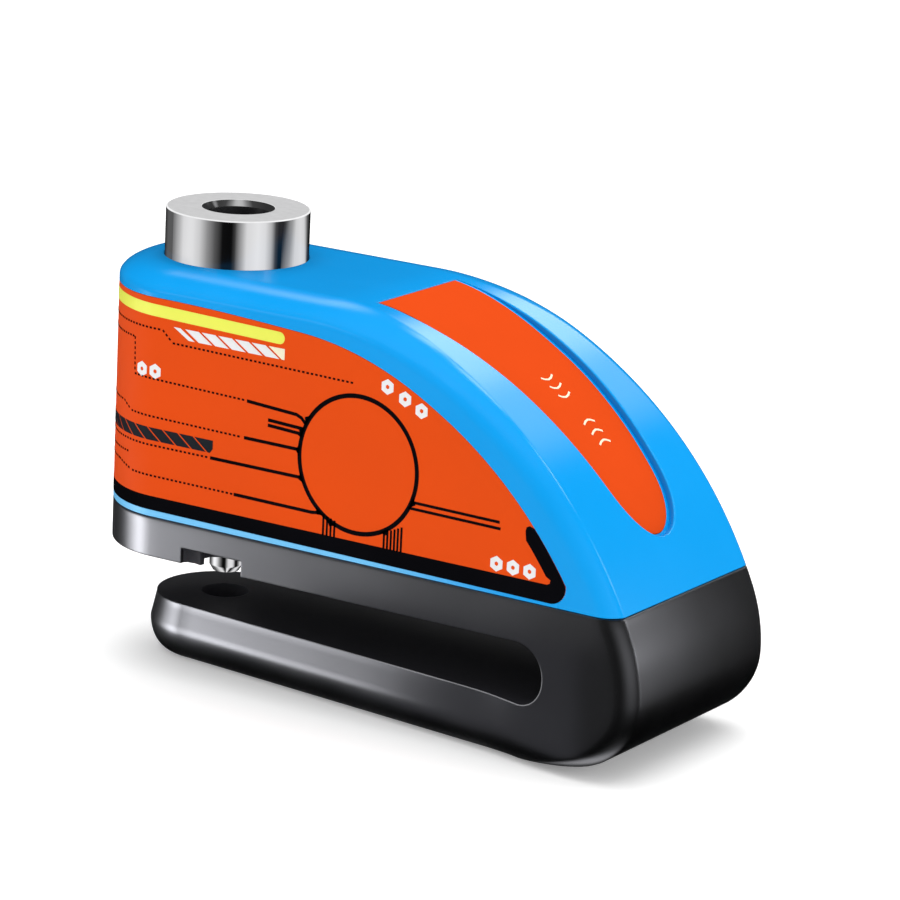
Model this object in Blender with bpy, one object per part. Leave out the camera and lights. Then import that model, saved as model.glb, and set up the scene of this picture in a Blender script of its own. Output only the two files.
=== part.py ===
"""Push-down alarm disc brake lock, modelled as its separate pieces.

Frame: the origin is the centre of the footprint on the bottom plane, +X points to the
nose, +Z is up, and the slot opens towards -X. Sizes are in millimetres; the shape builders
turn them into metres. Every piece is a child of lock_axis, an empty on the lock cylinder's
axis, so x values are measured from that axis.
"""
import math

import bmesh
import bpy
import numpy as np
from mathutils import Matrix, Vector

MM = 0.001

# ---------------------------------------------------------------- driving sizes (mm)
LOCK_X = -34.35          # lock-cylinder axis, from the footprint's centre
REAR_LENGTH = 16.3       # the rear end is a half ellipse this long ...
HALF_W = 20.1            # ... and as wide as the body
TOP_Z = 62.4             # flat top of the housing
PART_Z = 25.2            # parting plane between housing and lower body
PART_GAP = 0.3
JAW_TOP = 9.0            # top of the lower jaw
SLOT_TOP = 18.9          # underside of the upper jaw
RING_R = 11.0            # lock cylinder, outside radius
RING_TOP = 69.8
PIN_R = 2.6
# (x, y, top of the boss) of each housing screw
SCREWS = [(19.5, 14.0, 50.0), (57.5, 14.0, 44.0), (57.5, -14.0, 44.0), (19.5, -14.0, 50.0)]

# ---------------------------------------------------------------- scene and materials
for old in list(bpy.data.objects):
    bpy.data.objects.remove(old, do_unlink=True)

scene = bpy.context.scene
lock_axis = bpy.data.objects.new("lock_axis", None)
lock_axis.location = (LOCK_X * MM, 0, 0)
scene.collection.objects.link(lock_axis)


def material(name, colour, roughness, metallic=0.0):
    mat = bpy.data.materials.new(name)
    mat.use_nodes = True
    inputs = mat.node_tree.nodes["Principled BSDF"].inputs
    inputs["Base Color"].default_value = (*colour, 1.0)
    inputs["Roughness"].default_value = roughness
    inputs["Metallic"].default_value = metallic
    mat.diffuse_color = (*colour, 1.0)
    return mat


BLUE = material("blue_paint", colour=(0.01, 0.36, 0.86), roughness=0.32)
GREY = material("gunmetal", colour=(0.10, 0.10, 0.12), roughness=0.42, metallic=0.85)
ORANGE = material("orange_vinyl", colour=(0.80, 0.09, 0.012), roughness=0.5)
INLAY = material("orange_inlay", colour=(0.90, 0.10, 0.013), roughness=0.42)
CHROME = material("chrome", colour=(0.80, 0.80, 0.82), roughness=0.08, metallic=1.0)
STEEL = material("steel", colour=(0.45, 0.45, 0.47), roughness=0.3, metallic=1.0)
BRASS = material("brass", colour=(0.70, 0.50, 0.20), roughness=0.3, metallic=1.0)
BLACK = material("black_plastic", colour=(0.015, 0.015, 0.017), roughness=0.45)
RUBBER = material("rubber", colour=(0.02, 0.02, 0.02), roughness=0.8)
BOARD = material("board_green", colour=(0.02, 0.16, 0.07), roughness=0.5)
CELL = material("cell_nickel", colour=(0.62, 0.62, 0.60), roughness=0.25, metallic=1.0)
SCREW = material("zinc_screw", colour=(0.55, 0.55, 0.57), roughness=0.35, metallic=1.0)


# ---------------------------------------------------------------- objects and booleans
WELD = 2e-7              # metres


def new_object(name, shape, mat):
    """Clean the bmesh, face it outwards and turn it into an object under lock_axis."""
    bmesh.ops.remove_doubles(shape, verts=shape.verts, dist=WELD)
    bmesh.ops.dissolve_degenerate(shape, edges=shape.edges, dist=WELD)
    bmesh.ops.recalc_face_normals(shape, faces=shape.faces)
    if shape.calc_volume(signed=True) < 0:
        bmesh.ops.reverse_faces(shape, faces=shape.faces)
    mesh = bpy.data.meshes.new(name)
    shape.to_mesh(mesh)
    shape.free()
    if mat is not None:
        mesh.materials.append(mat)
    obj = bpy.data.objects.new(name, mesh)
    scene.collection.objects.link(obj)
    obj.parent = lock_axis
    return obj


def piece(name, shape, mat, sharp_angle=35.0):
    obj = new_object(name, shape, mat)
    obj.data.shade_smooth()
    obj.data.set_sharp_from_angle(angle=math.radians(sharp_angle))
    return obj


def modify(target, operation, name, shape, mat=None):
    """Put a hidden helper through target with a boolean modifier."""
    helper = new_object(name, shape, mat)
    helper.hide_render = True
    helper.display_type = "WIRE"
    modifier = target.modifiers.new(f"{operation.lower()}_{helper.name}", "BOOLEAN")
    modifier.operation = operation
    modifier.object = helper
    modifier.solver = "EXACT"


def cut(target, name, shape):
    modify(target, "DIFFERENCE", "cut_" + name, shape)


def add(target, name, shape, mat):
    modify(target, "UNION", "add_" + name, shape, mat)


# ---------------------------------------------------------------- plain shapes
FIRST_ANGLE = 0.031      # where a rod's first vertex stands, in radians


def around(centre, half):
    return centre - half, centre + half


def add_vertex(shape, x, y, z):
    return shape.verts.new((x * MM, y * MM, z * MM))


def add_rings(shape, rings):
    return [[add_vertex(shape, *point) for point in ring] for ring in rings]


def skin(shape, rings):
    """Join each closed ring of vertices to the next one with quads."""
    for here, there in zip(rings, rings[1:]):
        for i in range(len(here)):
            j = (i + 1) % len(here)
            shape.faces.new((here[i], here[j], there[j], there[i]))


def loft(rings):
    """A solid through closed rings of (x, y, z), capped at both ends."""
    shape = bmesh.new()
    rings = add_rings(shape, rings)
    skin(shape, rings)
    shape.faces.new(rings[0])
    shape.faces.new(rings[-1])
    return shape


def prism(points, z0, z1):
    """A closed outline of (x, y), raised from z0 to z1."""
    return loft([[(x, y, z) for x, y in points] for z in (z0, z1)])


def rod(x, y, radius, sides, z0, z1):
    """An upright cylinder."""
    angles = [FIRST_ANGLE + 2 * math.pi * k / sides for k in range(sides)]
    return prism([(x + radius * math.cos(a), y + radius * math.sin(a)) for a in angles], z0, z1)


def box(x_range, y_range, z_range):
    (x0, x1), (y0, y1) = x_range, y_range
    return prism([(x0, y0), (x1, y0), (x1, y1), (x0, y1)], *z_range)


def side_prism(points, half_width, z=0.0):
    """A closed outline of (x, height above z), spread half_width to each side in y."""
    shape = prism(points, -half_width, half_width)
    turn = Matrix.Translation((0, 0, z * MM)) @ Matrix.Rotation(math.pi / 2, 4, "X")
    bmesh.ops.transform(shape, matrix=turn, verts=shape.verts)
    return shape


def turned(profile, sides, x=0.0, y=0.0):
    """A solid of revolution about the vertical axis at x, y, from a closed (radius, z) outline."""
    shape = bmesh.new()
    rings = []
    for k in range(sides):
        angle = 2 * math.pi * k / sides
        ring = []
        for r, z in profile:
            on_axis = r < 1e-6
            ring.append(None if on_axis else add_vertex(
                shape, x + r * math.cos(angle), y + r * math.sin(angle), z))
        rings.append(ring)
    poles = {i: add_vertex(shape, x, y, z) for i, (r, z) in enumerate(profile) if r < 1e-6}
    for k in range(sides):
        here, there = rings[k], rings[(k + 1) % sides]
        for i in range(len(profile)):
            j = (i + 1) % len(profile)
            corners = []
            for ring, row in ((here, i), (here, j), (there, j), (there, i)):
                vertex = ring[row] or poles[row]
                if vertex not in corners:
                    corners.append(vertex)
            if len(corners) > 2:
                shape.faces.new(corners)
    return shape


def lay_along_y(shape, x, z):
    """Lay a vertical shape down so that its +Z becomes +Y, with its origin moved to x, z."""
    turn = Matrix.Translation(Vector((x, 0, z)) * MM) @ Matrix.Rotation(-math.pi / 2, 4, "X")
    bmesh.ops.transform(shape, matrix=turn, verts=shape.verts)
    return shape


def clamp(t):
    return min(max(t, 0.0), 1.0)


def ease(value, start, length):
    """Smooth step from 0 at start to 1 at start + length."""
    t = clamp((value - start) / length)
    return t * t * (3 - 2 * t)


def lerp(start, end, t):
    return start + (end - start) * t


def coil(radius, wire_r, z0, z1, turns, sides, per_turn):
    """A compression spring with closed ends, about the lock axis."""
    steps = int(turns * per_turn)
    flat = 0.75 / turns                     # share of the length in each closed end
    rings = []
    for k in range(steps + 1):
        t = k / steps
        rise = clamp((t - flat) / (1 - 2 * flat))
        z = z0 + wire_r + (z1 - z0 - 2 * wire_r) * (0.04 * t + 0.96 * rise)
        angle = 2 * math.pi * turns * t
        ring = []
        for i in range(sides):
            around_wire = 2 * math.pi * i / sides
            r = radius + wire_r * math.cos(around_wire)
            ring.append((r * math.cos(angle), r * math.sin(angle),
                         z + wire_r * math.sin(around_wire)))
        rings.append(ring)
    return loft(rings)


# ---------------------------------------------------------------- top line and shoulder
ARC_X0 = 26.34           # the top leaves the flat here
ARCS = ((52.56, 26.0), (70.4, 66.0), (24.6, 90.0))   # radius, end angle of each arc in turn
ARC_STARTS = (0.0, ARCS[0][1], ARCS[1][1])
ARC_LENGTH = sum(radius * math.radians(end - start)
                 for (radius, end), start in zip(ARCS, ARC_STARTS))
ARC_MIN = -60.0          # searches along the top line start here
SHOULDER_DROP = 3.1      # how far the rounded shoulder drops below the top surface
RIDGE_REAR = 12.8        # half width between the top's two ridges, at the rear ...
RIDGE_MID = 15.4         # ... past the middle ...
RIDGE_FLARE = 2.1        # ... and the further gain towards the nose


def top_line(arc):
    """Top line at arc length arc past ARC_X0: (x, z, slope angle)."""
    x, z, start = ARC_X0, TOP_Z, 0.0
    if arc <= 0:
        return x + arc, z, 0.0
    for radius, end_degrees in ARCS:
        end = math.radians(end_degrees)
        length = radius * (end - start)
        centre_x = x - radius * math.sin(start)
        centre_z = z - radius * math.cos(start)
        if arc <= length or end_degrees == ARCS[-1][1]:
            slope = min(start + arc / radius, end)
            return centre_x + radius * math.sin(slope), centre_z + radius * math.cos(slope), slope
        arc -= length
        x, z, start = centre_x + radius * math.sin(end), centre_z + radius * math.cos(end), end


def below_top(arc, depth):
    """The (x, z) that lies depth below the top line, square to it."""
    x, z, slope = top_line(arc)
    return x - math.sin(slope) * depth, z - math.cos(slope) * depth


def last_arc(low, holds):
    """Largest arc length from low on for which holds(arc) is true, by halving."""
    high = ARC_LENGTH
    for _ in range(50):
        middle = (low + high) / 2
        if holds(middle):
            low = middle
        else:
            high = middle
    return low


def arc_at_x(x):
    return last_arc(ARC_MIN, lambda arc: top_line(arc)[0] < x)


def ridge_half(x):
    """Half width between the two ridges of the top surface."""
    return lerp(RIDGE_REAR, RIDGE_MID, ease(x, 30, 22)) + RIDGE_FLARE * ease(x, 42, 36)


def shoulder(t):
    """Share of the shoulder's drop at t, from 0 at the ridge to 1 at the side."""
    return 1 - math.sqrt(max(0.0, 1 - t ** 1.7))


# ---------------------------------------------------------------- lower body
SLOT_MOUTH_X = -40.0     # the slot's cutter starts here, behind the body
SLOT_END_X = 64.9        # centre of the slot's round end
NOSE_LENGTH = 16.0       # lower nose: quarter ellipse ...
NOSE_HEIGHT = 12.5       # ... up to this height
NOSE_X = top_line(ARC_LENGTH)[0]
JAW_R = 11.4             # half width of the lower jaw at the lock axis
JAW_SLOPE = 0.107        # its gain in half width per mm of x
JAW_DRAFT = 0.9
EDGE_HEIGHT = 4.9        # the bottom edge is rounded up to here ...
EDGE_PULL = 3.1          # ... and drawn in by this much at the bottom
REAR_STEPS = 9
CORNER_STEPS = 5
SIDE_FRACTIONS = (0.0, 0.2, 0.4, 0.6, 0.72, 0.82, 0.9, 0.96)   # of the side's length
LEVELS = [0.0, 0.3, 1.0, 2.1, 3.4, 4.9, 7.0, 9.4, 11.0, 12.5, 15.5, 18.4, 22.0, PART_Z]
PIN_HOLE_R = 3.65        # hole in the lower jaw
# (x, y) of the notch in the -Y side, just above the slot
NOTCH = [
    (5.75, -26.0), (5.75, -19.5), (6.2, -18.95), (7.4, -18.8), (8.6, -19.0), (8.7, -18.2),
    (6.9, -15.6), (7.2, -14.4), (10.4, -11.5), (13.8, -11.2), (16.0, -12.6), (16.75, -15.0),
    (16.75, -26.0),
]


def front_x(z):
    """x of the lower nose on the centre line, for z up to NOSE_HEIGHT."""
    rise = (NOSE_HEIGHT - z) / NOSE_HEIGHT
    return NOSE_X - NOSE_LENGTH + NOSE_LENGTH * math.sqrt(max(0.0, 1 - rise ** 2))


def side_half(x, z):
    """Half width of the lower body: the lower jaw tapers, the rest is straight."""
    jaw = JAW_R + JAW_SLOPE * max(x, 0.0)
    jaw = lerp(jaw, HALF_W, ease(x, 58, 20))
    return lerp(jaw, HALF_W, ease(z, JAW_TOP, 6.0))


def corner_point(z, t):
    """The nose's rounded corner at height z, t from 0 (ridge) to 1 (side): (x, y)."""
    if z <= NOSE_HEIGHT:
        front = front_x(z)
        depth = SHOULDER_DROP * (1 + 1.1 * (1 - z / NOSE_HEIGHT) ** 2)
        side = side_half(front - depth, z)
        ridge = min(ridge_half(front), side - 2.5)
        return front - depth * shoulder(t), lerp(ridge, side, t)
    depth = SHOULDER_DROP * shoulder(t)
    arc = last_arc(ARC_LENGTH * 0.3, lambda s: below_top(s, depth)[1] > z)
    return below_top(arc, depth)[0], lerp(ridge_half(top_line(arc)[0]), HALF_W, t)


def edge_pull(z):
    """How far the rounded bottom edge draws the section in at height z."""
    if z >= EDGE_HEIGHT:
        return 0.0
    fall = (EDGE_HEIGHT - z) / EDGE_HEIGHT
    return EDGE_PULL * (1 - math.sqrt(max(0.0, 1 - fall ** 2)))


def lower_outline(z, inset=0.0):
    """Closed outline of the lower body at height z: rear to nose on +Y, back on -Y."""
    pull = edge_pull(z) + inset
    nose_pull = pull * 0.25 + inset
    draft = JAW_DRAFT * clamp((z - EDGE_HEIGHT) / (JAW_TOP - EDGE_HEIGHT))
    draft *= 1 - ease(z, JAW_TOP, 3.0)
    rear_length = lerp(JAW_R - draft, REAR_LENGTH, ease(z, 9.4, 9.0)) - pull
    rear_half = side_half(0, z) - draft - pull
    half = []
    for k in range(REAR_STEPS):
        angle = math.pi / 2 * k / REAR_STEPS
        half.append((-rear_length * math.cos(angle), rear_half * math.sin(angle)))
    side_end = corner_point(z, 1.0)[0] - nose_pull
    for fraction in SIDE_FRACTIONS:
        x = side_end * fraction
        half.append((x, side_half(x, z) - draft * (1 - ease(x, 55, 14)) - pull))
    for k in range(CORNER_STEPS + 1):
        x, y = corner_point(z, math.sin((1 - k / CORNER_STEPS) * math.pi / 2))
        half.append((x - nose_pull, y - pull))
    half.append((corner_point(z, 0.0)[0] - nose_pull, 0.0))
    return half + [(x, -y) for x, y in reversed(half[1:-1])]


lower_body = piece("lower_body", loft([[(x, y, z) for x, y in lower_outline(z)]
                                       for z in LEVELS]), GREY)

slot_r = (SLOT_TOP - JAW_TOP) / 2
slot = [(SLOT_MOUTH_X, -slot_r)]
slot += [(SLOT_END_X + slot_r * math.sin(a), -slot_r * math.cos(a))
         for a in np.linspace(0, math.pi, 17)]
slot.append((SLOT_MOUTH_X, slot_r))
cut(lower_body, "slot", side_prism(slot, 30, z=(SLOT_TOP + JAW_TOP) / 2))

cut(lower_body, "notch", prism(NOTCH, SLOT_TOP - 2, 21.3))
cut(lower_body, "jaw_hole", rod(0, 0, PIN_HOLE_R, 40, -3, JAW_TOP + 3))
cut(lower_body, "pin_bore", rod(0, 0, PIN_R + 0.2, 32, SLOT_TOP - 3, 24))
cut(lower_body, "spring_seat", rod(0, 0, 10.3, 48, 21.4, PART_Z + 2))
cut(lower_body, "sleeve_seat", rod(0, 0, 13.7, 48, 23.0, PART_Z + 2.5))

# counterbored screw holes, (radius, z)
SCREW_HOLE = [
    (0, SLOT_TOP - 2), (2.9, SLOT_TOP - 2), (2.9, 21.2), (1.6, 21.2), (1.6, PART_Z + 2),
    (0, PART_Z + 2),
]
for i, (x, y, _) in enumerate(SCREWS, 1):
    cut(lower_body, f"screw_{i}", turned(SCREW_HOLE, 24, x, y))
# shallow tray that keeps the board's underside clear
cut(lower_body, "tray", box((27.0, 53.0), around(0, 9.6), (23.4, PART_Z + 3)))


# ---------------------------------------------------------------- upper housing
REAR_RIDGE_LENGTH = 12.0  # length of the rear ridge's half ellipse
REAR_DROP_LOSS = 0.7      # the shoulder drops this much less at the very rear
RIDGE_INSET = 0.6         # share of the side inset that the ridges take
CAVITY_TOP_WALL = 3.6
CAVITY_SIDE_WALL = 2.4


def arc_stations(flat_fractions, steps):
    """Arc lengths from the lock axis to the nose: shares of the flat, then even steps."""
    stations = [-ARC_X0 * fraction for fraction in flat_fractions]
    return stations + [ARC_LENGTH * k / steps for k in range(1, steps + 1)]


def upper_shell(top_in, side_in, stations, rear_steps, rungs, z_cut):
    """The outside of housing and nose above z_cut, moved inwards by top_in and side_in."""
    side = HALF_W - side_in
    ridge_in = side_in * RIDGE_INSET
    rungs_t = [math.sin(k / rungs * math.pi / 2) for k in range(rungs + 1)]

    def section(arc):
        ridge = min(ridge_half(top_line(arc)[0]) - ridge_in, side - 1.0)
        row = []
        for t in rungs_t:
            x, z = below_top(arc, top_in + SHOULDER_DROP * shoulder(t))
            row.append((x, lerp(ridge, side, t), z))
        return row

    def rear(angle):
        """Row at angle round the rear, from 0 at the +Y side to 90 degrees at -X."""
        drop = SHOULDER_DROP - REAR_DROP_LOSS * math.sin(angle)
        ridge = ridge_half(0) - ridge_in
        row = []
        for t in rungs_t:
            length = lerp(REAR_RIDGE_LENGTH - ridge_in, REAR_LENGTH - side_in, t)
            row.append((-length * math.sin(angle), lerp(ridge, side, t) * math.cos(angle),
                        TOP_Z - top_in - drop * shoulder(t)))
        return row

    # rows run from the nose on -Y, round the rear, to the nose on +Y
    half = [rear(math.pi / 2 * k / rear_steps) for k in range(rear_steps - 1, 0, -1)]
    half += [section(arc) for arc in stations]
    path = [[(x, -y, z) for x, y, z in row] for row in reversed(half)]
    path.append([(x, 0.0, z) for x, y, z in rear(math.pi / 2)])
    path += half

    shape = bmesh.new()
    base_z = top_line(ARC_LENGTH)[1]
    rows = add_rings(shape, path)
    feet = [add_vertex(shape, *row[-1][:2], base_z) for row in path]
    count = len(rows)
    for i in range(count - 1):
        here, there = rows[i], rows[i + 1]
        for k in range(rungs):
            shape.faces.new((here[k], here[k + 1], there[k + 1], there[k]))
        shape.faces.new((here[-1], feet[i], feet[i + 1], there[-1]))
    last = len(stations) - 1
    ridge = [row[0] for row in rows]
    for i in range(last):                   # strips across the top surface
        shape.faces.new((ridge[i], ridge[i + 1], ridge[count - 2 - i], ridge[count - 1 - i]))
    shape.faces.new(ridge[last:count - last])
    shape.faces.new(rows[0] + feet[1:-1] + rows[-1][::-1])
    bmesh.ops.remove_doubles(shape, verts=shape.verts, dist=1e-6)
    bmesh.ops.recalc_face_normals(shape, faces=shape.faces)
    bmesh.ops.bisect_plane(
        shape, geom=shape.verts[:] + shape.edges[:] + shape.faces[:], dist=1e-8,
        plane_co=(0, 0, z_cut * MM), plane_no=(0, 0, 1), clear_inner=True)
    bmesh.ops.holes_fill(shape, edges=[e for e in shape.edges if e.is_boundary], sides=0)
    return shape


upper_housing = piece("upper_housing", upper_shell(
    top_in=0, side_in=0, stations=arc_stations((1.0, 0.66, 0.33, 0.0), 22),
    rear_steps=9, rungs=5, z_cut=PART_Z + PART_GAP), BLUE)
cut(upper_housing, "cavity", upper_shell(
    top_in=CAVITY_TOP_WALL, side_in=CAVITY_SIDE_WALL, stations=arc_stations((1.0, 0.5, 0.0), 12),
    rear_steps=7, rungs=3, z_cut=PART_Z - 4))
# rebate for the gasket along the inner lower edge
cut(upper_housing, "rebate", prism(lower_outline(PART_Z, 1.25), PART_Z - 3, PART_Z + 1.25))
# opening for the lock cylinder
cut(upper_housing, "cylinder", rod(0, 0, RING_R + 0.3, 64, 50, TOP_Z + 4))


# ---------------------------------------------------------------- spine inlay
INLAY_ARC = arc_at_x(32.95)    # arc length at the inlay's straight start
INLAY_HALF = 10.3              # half width there
INLAY_ROUND = 9.6              # length of its rounded end
INLAY_TIP = 60.6               # arc length at its tip
ROUND_ARC = INLAY_TIP - INLAY_ROUND
STRAIGHT_STEPS = 14
ROUND_STEPS = 9


def inlay_half(arc, grow):
    """Half width of the inlay: a slow taper, then a rounded end."""
    run = arc - INLAY_ARC
    half = INLAY_HALF + grow - 0.03 * run - 0.00105 * run * run
    past = (arc - ROUND_ARC) / (INLAY_ROUND + grow)
    return half * math.sqrt(max(0.0, 1 - max(0.0, past) ** 2.6))


def inlay_depth(arc, extra=0.0):
    """Depth of the inlay's face below the top surface, plus extra."""
    return 0.05 + 0.95 * ease(arc, INLAY_ARC, 22.0) + extra


def spine_strip(start, grow, high, low):
    """A strip along the top surface, the inlay's outline grown by grow.

    high and low give the depths of its two faces at an arc length.
    """
    length = INLAY_ROUND + grow
    arcs = [lerp(start, ROUND_ARC, k / STRAIGHT_STEPS) for k in range(STRAIGHT_STEPS + 1)]
    arcs += [ROUND_ARC + length * math.sin(k / ROUND_STEPS * math.pi / 2)
             for k in range(1, ROUND_STEPS + 1)]
    rows = []
    for arc in arcs:
        half = max(inlay_half(min(arc, ROUND_ARC + length * 0.9985), grow), 0.3)
        middle = 0.6 * ease(arc, 14, 20)    # the centre line drifts a little to +Y
        row = []
        for y in (-half, -half * 0.5, 0.0, half * 0.5, half):
            for depth in (high(arc), low(arc)):
                x, z = below_top(arc, depth)
                row.append((x, middle + y, z))
        rows.append(row)
    # each row alternates high and low points, from -Y to +Y
    shape = bmesh.new()
    rows = add_rings(shape, rows)
    for here, there in zip(rows, rows[1:]):
        for j in range(0, 8, 2):
            for i in (j, j + 1):
                shape.faces.new((here[i], here[i + 2], there[i + 2], there[i]))
        for i in (0, 8):
            shape.faces.new((here[i], here[i + 1], there[i + 1], there[i]))
    for row in (rows[0], rows[-1]):
        shape.faces.new(row[0::2] + row[::-2])
    return shape


cut(upper_housing, "channel", spine_strip(
    INLAY_ARC - 0.22, 0.6, high=lambda arc: -3.0, low=lambda arc: inlay_depth(arc, 0.06)))
cut(upper_housing, "seat", spine_strip(
    INLAY_ARC - 0.16, 0.15, high=lambda arc: inlay_depth(arc, -0.25),
    low=lambda arc: inlay_depth(arc, 1.15)))
piece("spine_inlay", spine_strip(
    INLAY_ARC, 0.0, high=inlay_depth, low=lambda arc: inlay_depth(arc, 0.9)), INLAY)


# ---------------------------------------------------------------- wrap label
LABEL_FRONT = 73.0
LABEL_Z0 = 26.0          # lower edge
LABEL_XS = [LABEL_FRONT - 1.5, 68, 63, 57, 50, 43, 36, 28, 18, 8, 0]   # stations on each side
LABEL_REAR_STEPS = 17


def label_drop(arc):
    """Distance of the label's upper edge below the top surface."""
    return 3.5 + 2.3 * ease(arc, -26, 56)


def label_top(x):
    arc = last_arc(ARC_MIN, lambda s: below_top(s, label_drop(s))[0] < x)
    return below_top(arc, label_drop(arc))[1]


def wrap_band(outer, inner, grow):
    """A band on the wall, from one side's front round the rear to the other side's front.

    It lies from outer to inner below the surface and is grown by grow at its edges.
    """
    side = [LABEL_FRONT + grow] + LABEL_XS
    stations = [(x, -HALF_W, 0.0, -1.0) for x in side]    # x, y, outward normal x, y
    for k in range(1, LABEL_REAR_STEPS):
        angle = math.pi / 2 + math.pi * k / LABEL_REAR_STEPS
        normal_x, normal_y = math.cos(angle) / REAR_LENGTH, math.sin(angle) / HALF_W
        length = math.hypot(normal_x, normal_y)
        stations.append((REAR_LENGTH * math.cos(angle), -HALF_W * math.sin(angle),
                         normal_x / length, -normal_y / length))
    stations += [(x, HALF_W, 0.0, 1.0) for x in reversed(side)]
    rings = []
    for x, y, normal_x, normal_y in stations:
        top = label_top(min(x, LABEL_FRONT)) + grow
        bottom = LABEL_Z0 - grow
        rings.append([(x - normal_x * depth, y - normal_y * depth, z) for depth, z in (
            (outer, bottom), (outer, top), (inner, top), (inner, bottom))])
    return loft(rings)


cut(upper_housing, "label", wrap_band(outer=-1.5, inner=0.6, grow=0.25))
piece("wrap_label", wrap_band(outer=0.05, inner=0.35, grow=0.0), ORANGE)

# ---------------------------------------------------------------- bosses, screws, gasket
WEB_END_Y = 18.6         # the webs reach into the side walls up to here

for i, (x, y, top) in enumerate(SCREWS, 1):
    web_y = (y, math.copysign(WEB_END_Y, y))
    add(upper_housing, f"boss_{i}", rod(x, y, 3.0, 20, PART_Z + PART_GAP, top), BLUE)
    add(upper_housing, f"web_{i}", box(around(x, 2.0), web_y, (PART_Z + 2.0, top - 1)), BLUE)
    cut(upper_housing, f"boss_{i}", rod(x, y, 1.6, 16, PART_Z - 1, top - 4))

# hollow head, shank and point, (radius, z)
HOUSING_SCREW = [
    (0, 20.4), (0.9, 20.4), (0.9, 19.3), (2.4, 19.3), (2.6, 19.6), (2.6, 20.9), (1.3, 20.9),
    (1.3, 36.0), (0.9, 37.0), (0, 37.0),
]
for i, (x, y, _) in enumerate(SCREWS, 1):
    piece(f"housing_screw_{i}", turned(HOUSING_SCREW, 16, x, y), SCREW)


def gasket():
    """A closed band of rectangular section inside the rebate."""
    low, high = PART_Z + 0.3, PART_Z + 0.95
    outer, inner = lower_outline(PART_Z, 1.55), lower_outline(PART_Z, 2.35)
    shape = bmesh.new()
    loops = add_rings(shape, [[(x, y, z) for x, y in outline] for outline, z in (
        (outer, low), (outer, high), (inner, high), (inner, low))])
    skin(shape, loops + loops[:1])
    return shape


piece("body_gasket", gasket(), RUBBER)

# ---------------------------------------------------------------- lock cylinder
# Turned outlines below are (radius, z).
SIDES = 48
KEY_HOLE_R = 5.5
CORE_R = 6.55
LATCH_Z0, LATCH_Z1 = 40.0, 43.5
LATCH_HALF = 3.0
LATCH_GAP = 0.3          # clearance of the latch in its window
RAMP_X, RAMP_Z = 9.7, 40.0     # foot of the ramp that faces the switch
RAMP_HEIGHT = 13.7
RAMP_SLOPE = 0.095       # gain in x per mm of height
SWITCH_Z = 43.2
STOP_Z = 47.7            # axis of the stop screw

PLUNGER = [
    (KEY_HOLE_R + 0.1, RING_TOP), (RING_R - 0.35, RING_TOP), (RING_R, RING_TOP - 0.35),
    (RING_R, 33.8), (RING_R - 0.5, 33.3), (6.7, 33.3), (6.7, 34.3), (7.5, 34.3), (7.5, 35.9),
    (6.75, 35.9), (6.75, 67.3), (KEY_HOLE_R - 0.7, 67.3), (KEY_HOLE_R - 0.7, RING_TOP - 0.95),
]
plunger = piece("plunger_body", turned(PLUNGER, SIDES), CHROME, sharp_angle=30)
cut(plunger, "latch_window", box((-14, -5), around(0, LATCH_HALF + LATCH_GAP),
                                 (LATCH_Z0 - LATCH_GAP, LATCH_Z1 + LATCH_GAP)))
ramp_top = RAMP_Z + RAMP_HEIGHT
cut(plunger, "switch_ramp", side_prism([
    (RAMP_X, RAMP_Z), (RAMP_X + RAMP_SLOPE * RAMP_HEIGHT, ramp_top), (16.0, ramp_top),
    (16.0, RAMP_Z)], 3.4))
cut(plunger, "stop_groove", box(around(0, 1.3), (8.8, 14), (46.3, 56.5)))

# cup that holds the discs
DRUM = [(5.25, 67.0), (CORE_R, 67.0), (CORE_R, 48.4), (0, 48.4), (0, 50.2), (5.25, 50.2)]
core_drum = piece("core_drum", turned(DRUM, SIDES), STEEL)
cut(core_drum, "side_bar", box(around(0, 0.95), (4.4, 8.0), (51.4, 64.0)))

# tumbler discs
DISC_R = 5.0
DISC_Z0 = 50.6
DISC_PITCH = 2.75
DISC_HEIGHT = 2.3
# the key slot is an ellipse with its +X side cut straight
KEY_SLOT = [(1.9 * math.cos(a), 3.1 * math.sin(a))
            for a in np.linspace(math.radians(35), math.radians(325), 17)]


def key_disc(name, z0, z1, mat, radius=DISC_R):
    """A disc with the key slot through it."""
    disc = piece(name, rod(0, 0, radius, 40, z0, z1), mat)
    cut(disc, name, prism(KEY_SLOT, z0 - 1, z1 + 1))
    return disc


key_disc("guard_disc", 64.6, 66.6, BLACK)
for k in range(5):
    z0 = DISC_Z0 + DISC_PITCH * k
    radius = DISC_R if k % 2 else DISC_R - 0.05
    disc = key_disc(f"tumbler_disc_{k + 1}", z0, z0 + DISC_HEIGHT, BRASS, radius)
    cut(disc, f"gate_{k + 1}", box(around(0, 1.2), (4.0, 7.0), (z0 - 1, z0 + 4)))
piece("side_bar", box(around(0, 0.7), (4.7, 6.35), (51.8, 63.6)), STEEL)

# cam under the drum, with an off-centre pin that sits in the latch's yoke
cam_pin_x = math.cos(math.radians(135))
cam_pin_y = math.sin(math.radians(135))
cam = piece("core_cam", rod(0, 0, 6.4, 48, 43.9, 48.1), STEEL)
add(cam, "cam_pin", rod(cam_pin_x, cam_pin_y, 0.8, 20, 40.4, 44.6), STEEL)

latch = piece("latch_bolt", box((-10.8, 2.6), around(0, LATCH_HALF), (LATCH_Z0, LATCH_Z1)), STEEL)
cut(latch, "yoke", box(around(cam_pin_x, 1.0), (-0.6, 2.2), (39, 45)))

PIN_TIP = 12.4
PIN = [
    (0, PIN_TIP), (PIN_R - 0.6, PIN_TIP), (PIN_R, PIN_TIP + 1.0), (PIN_R, 36.2), (6.4, 36.2),
    (6.4, 39.6), (0, 39.6),
]
piece("lock_pin", turned(PIN, 40), CHROME)

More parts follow.
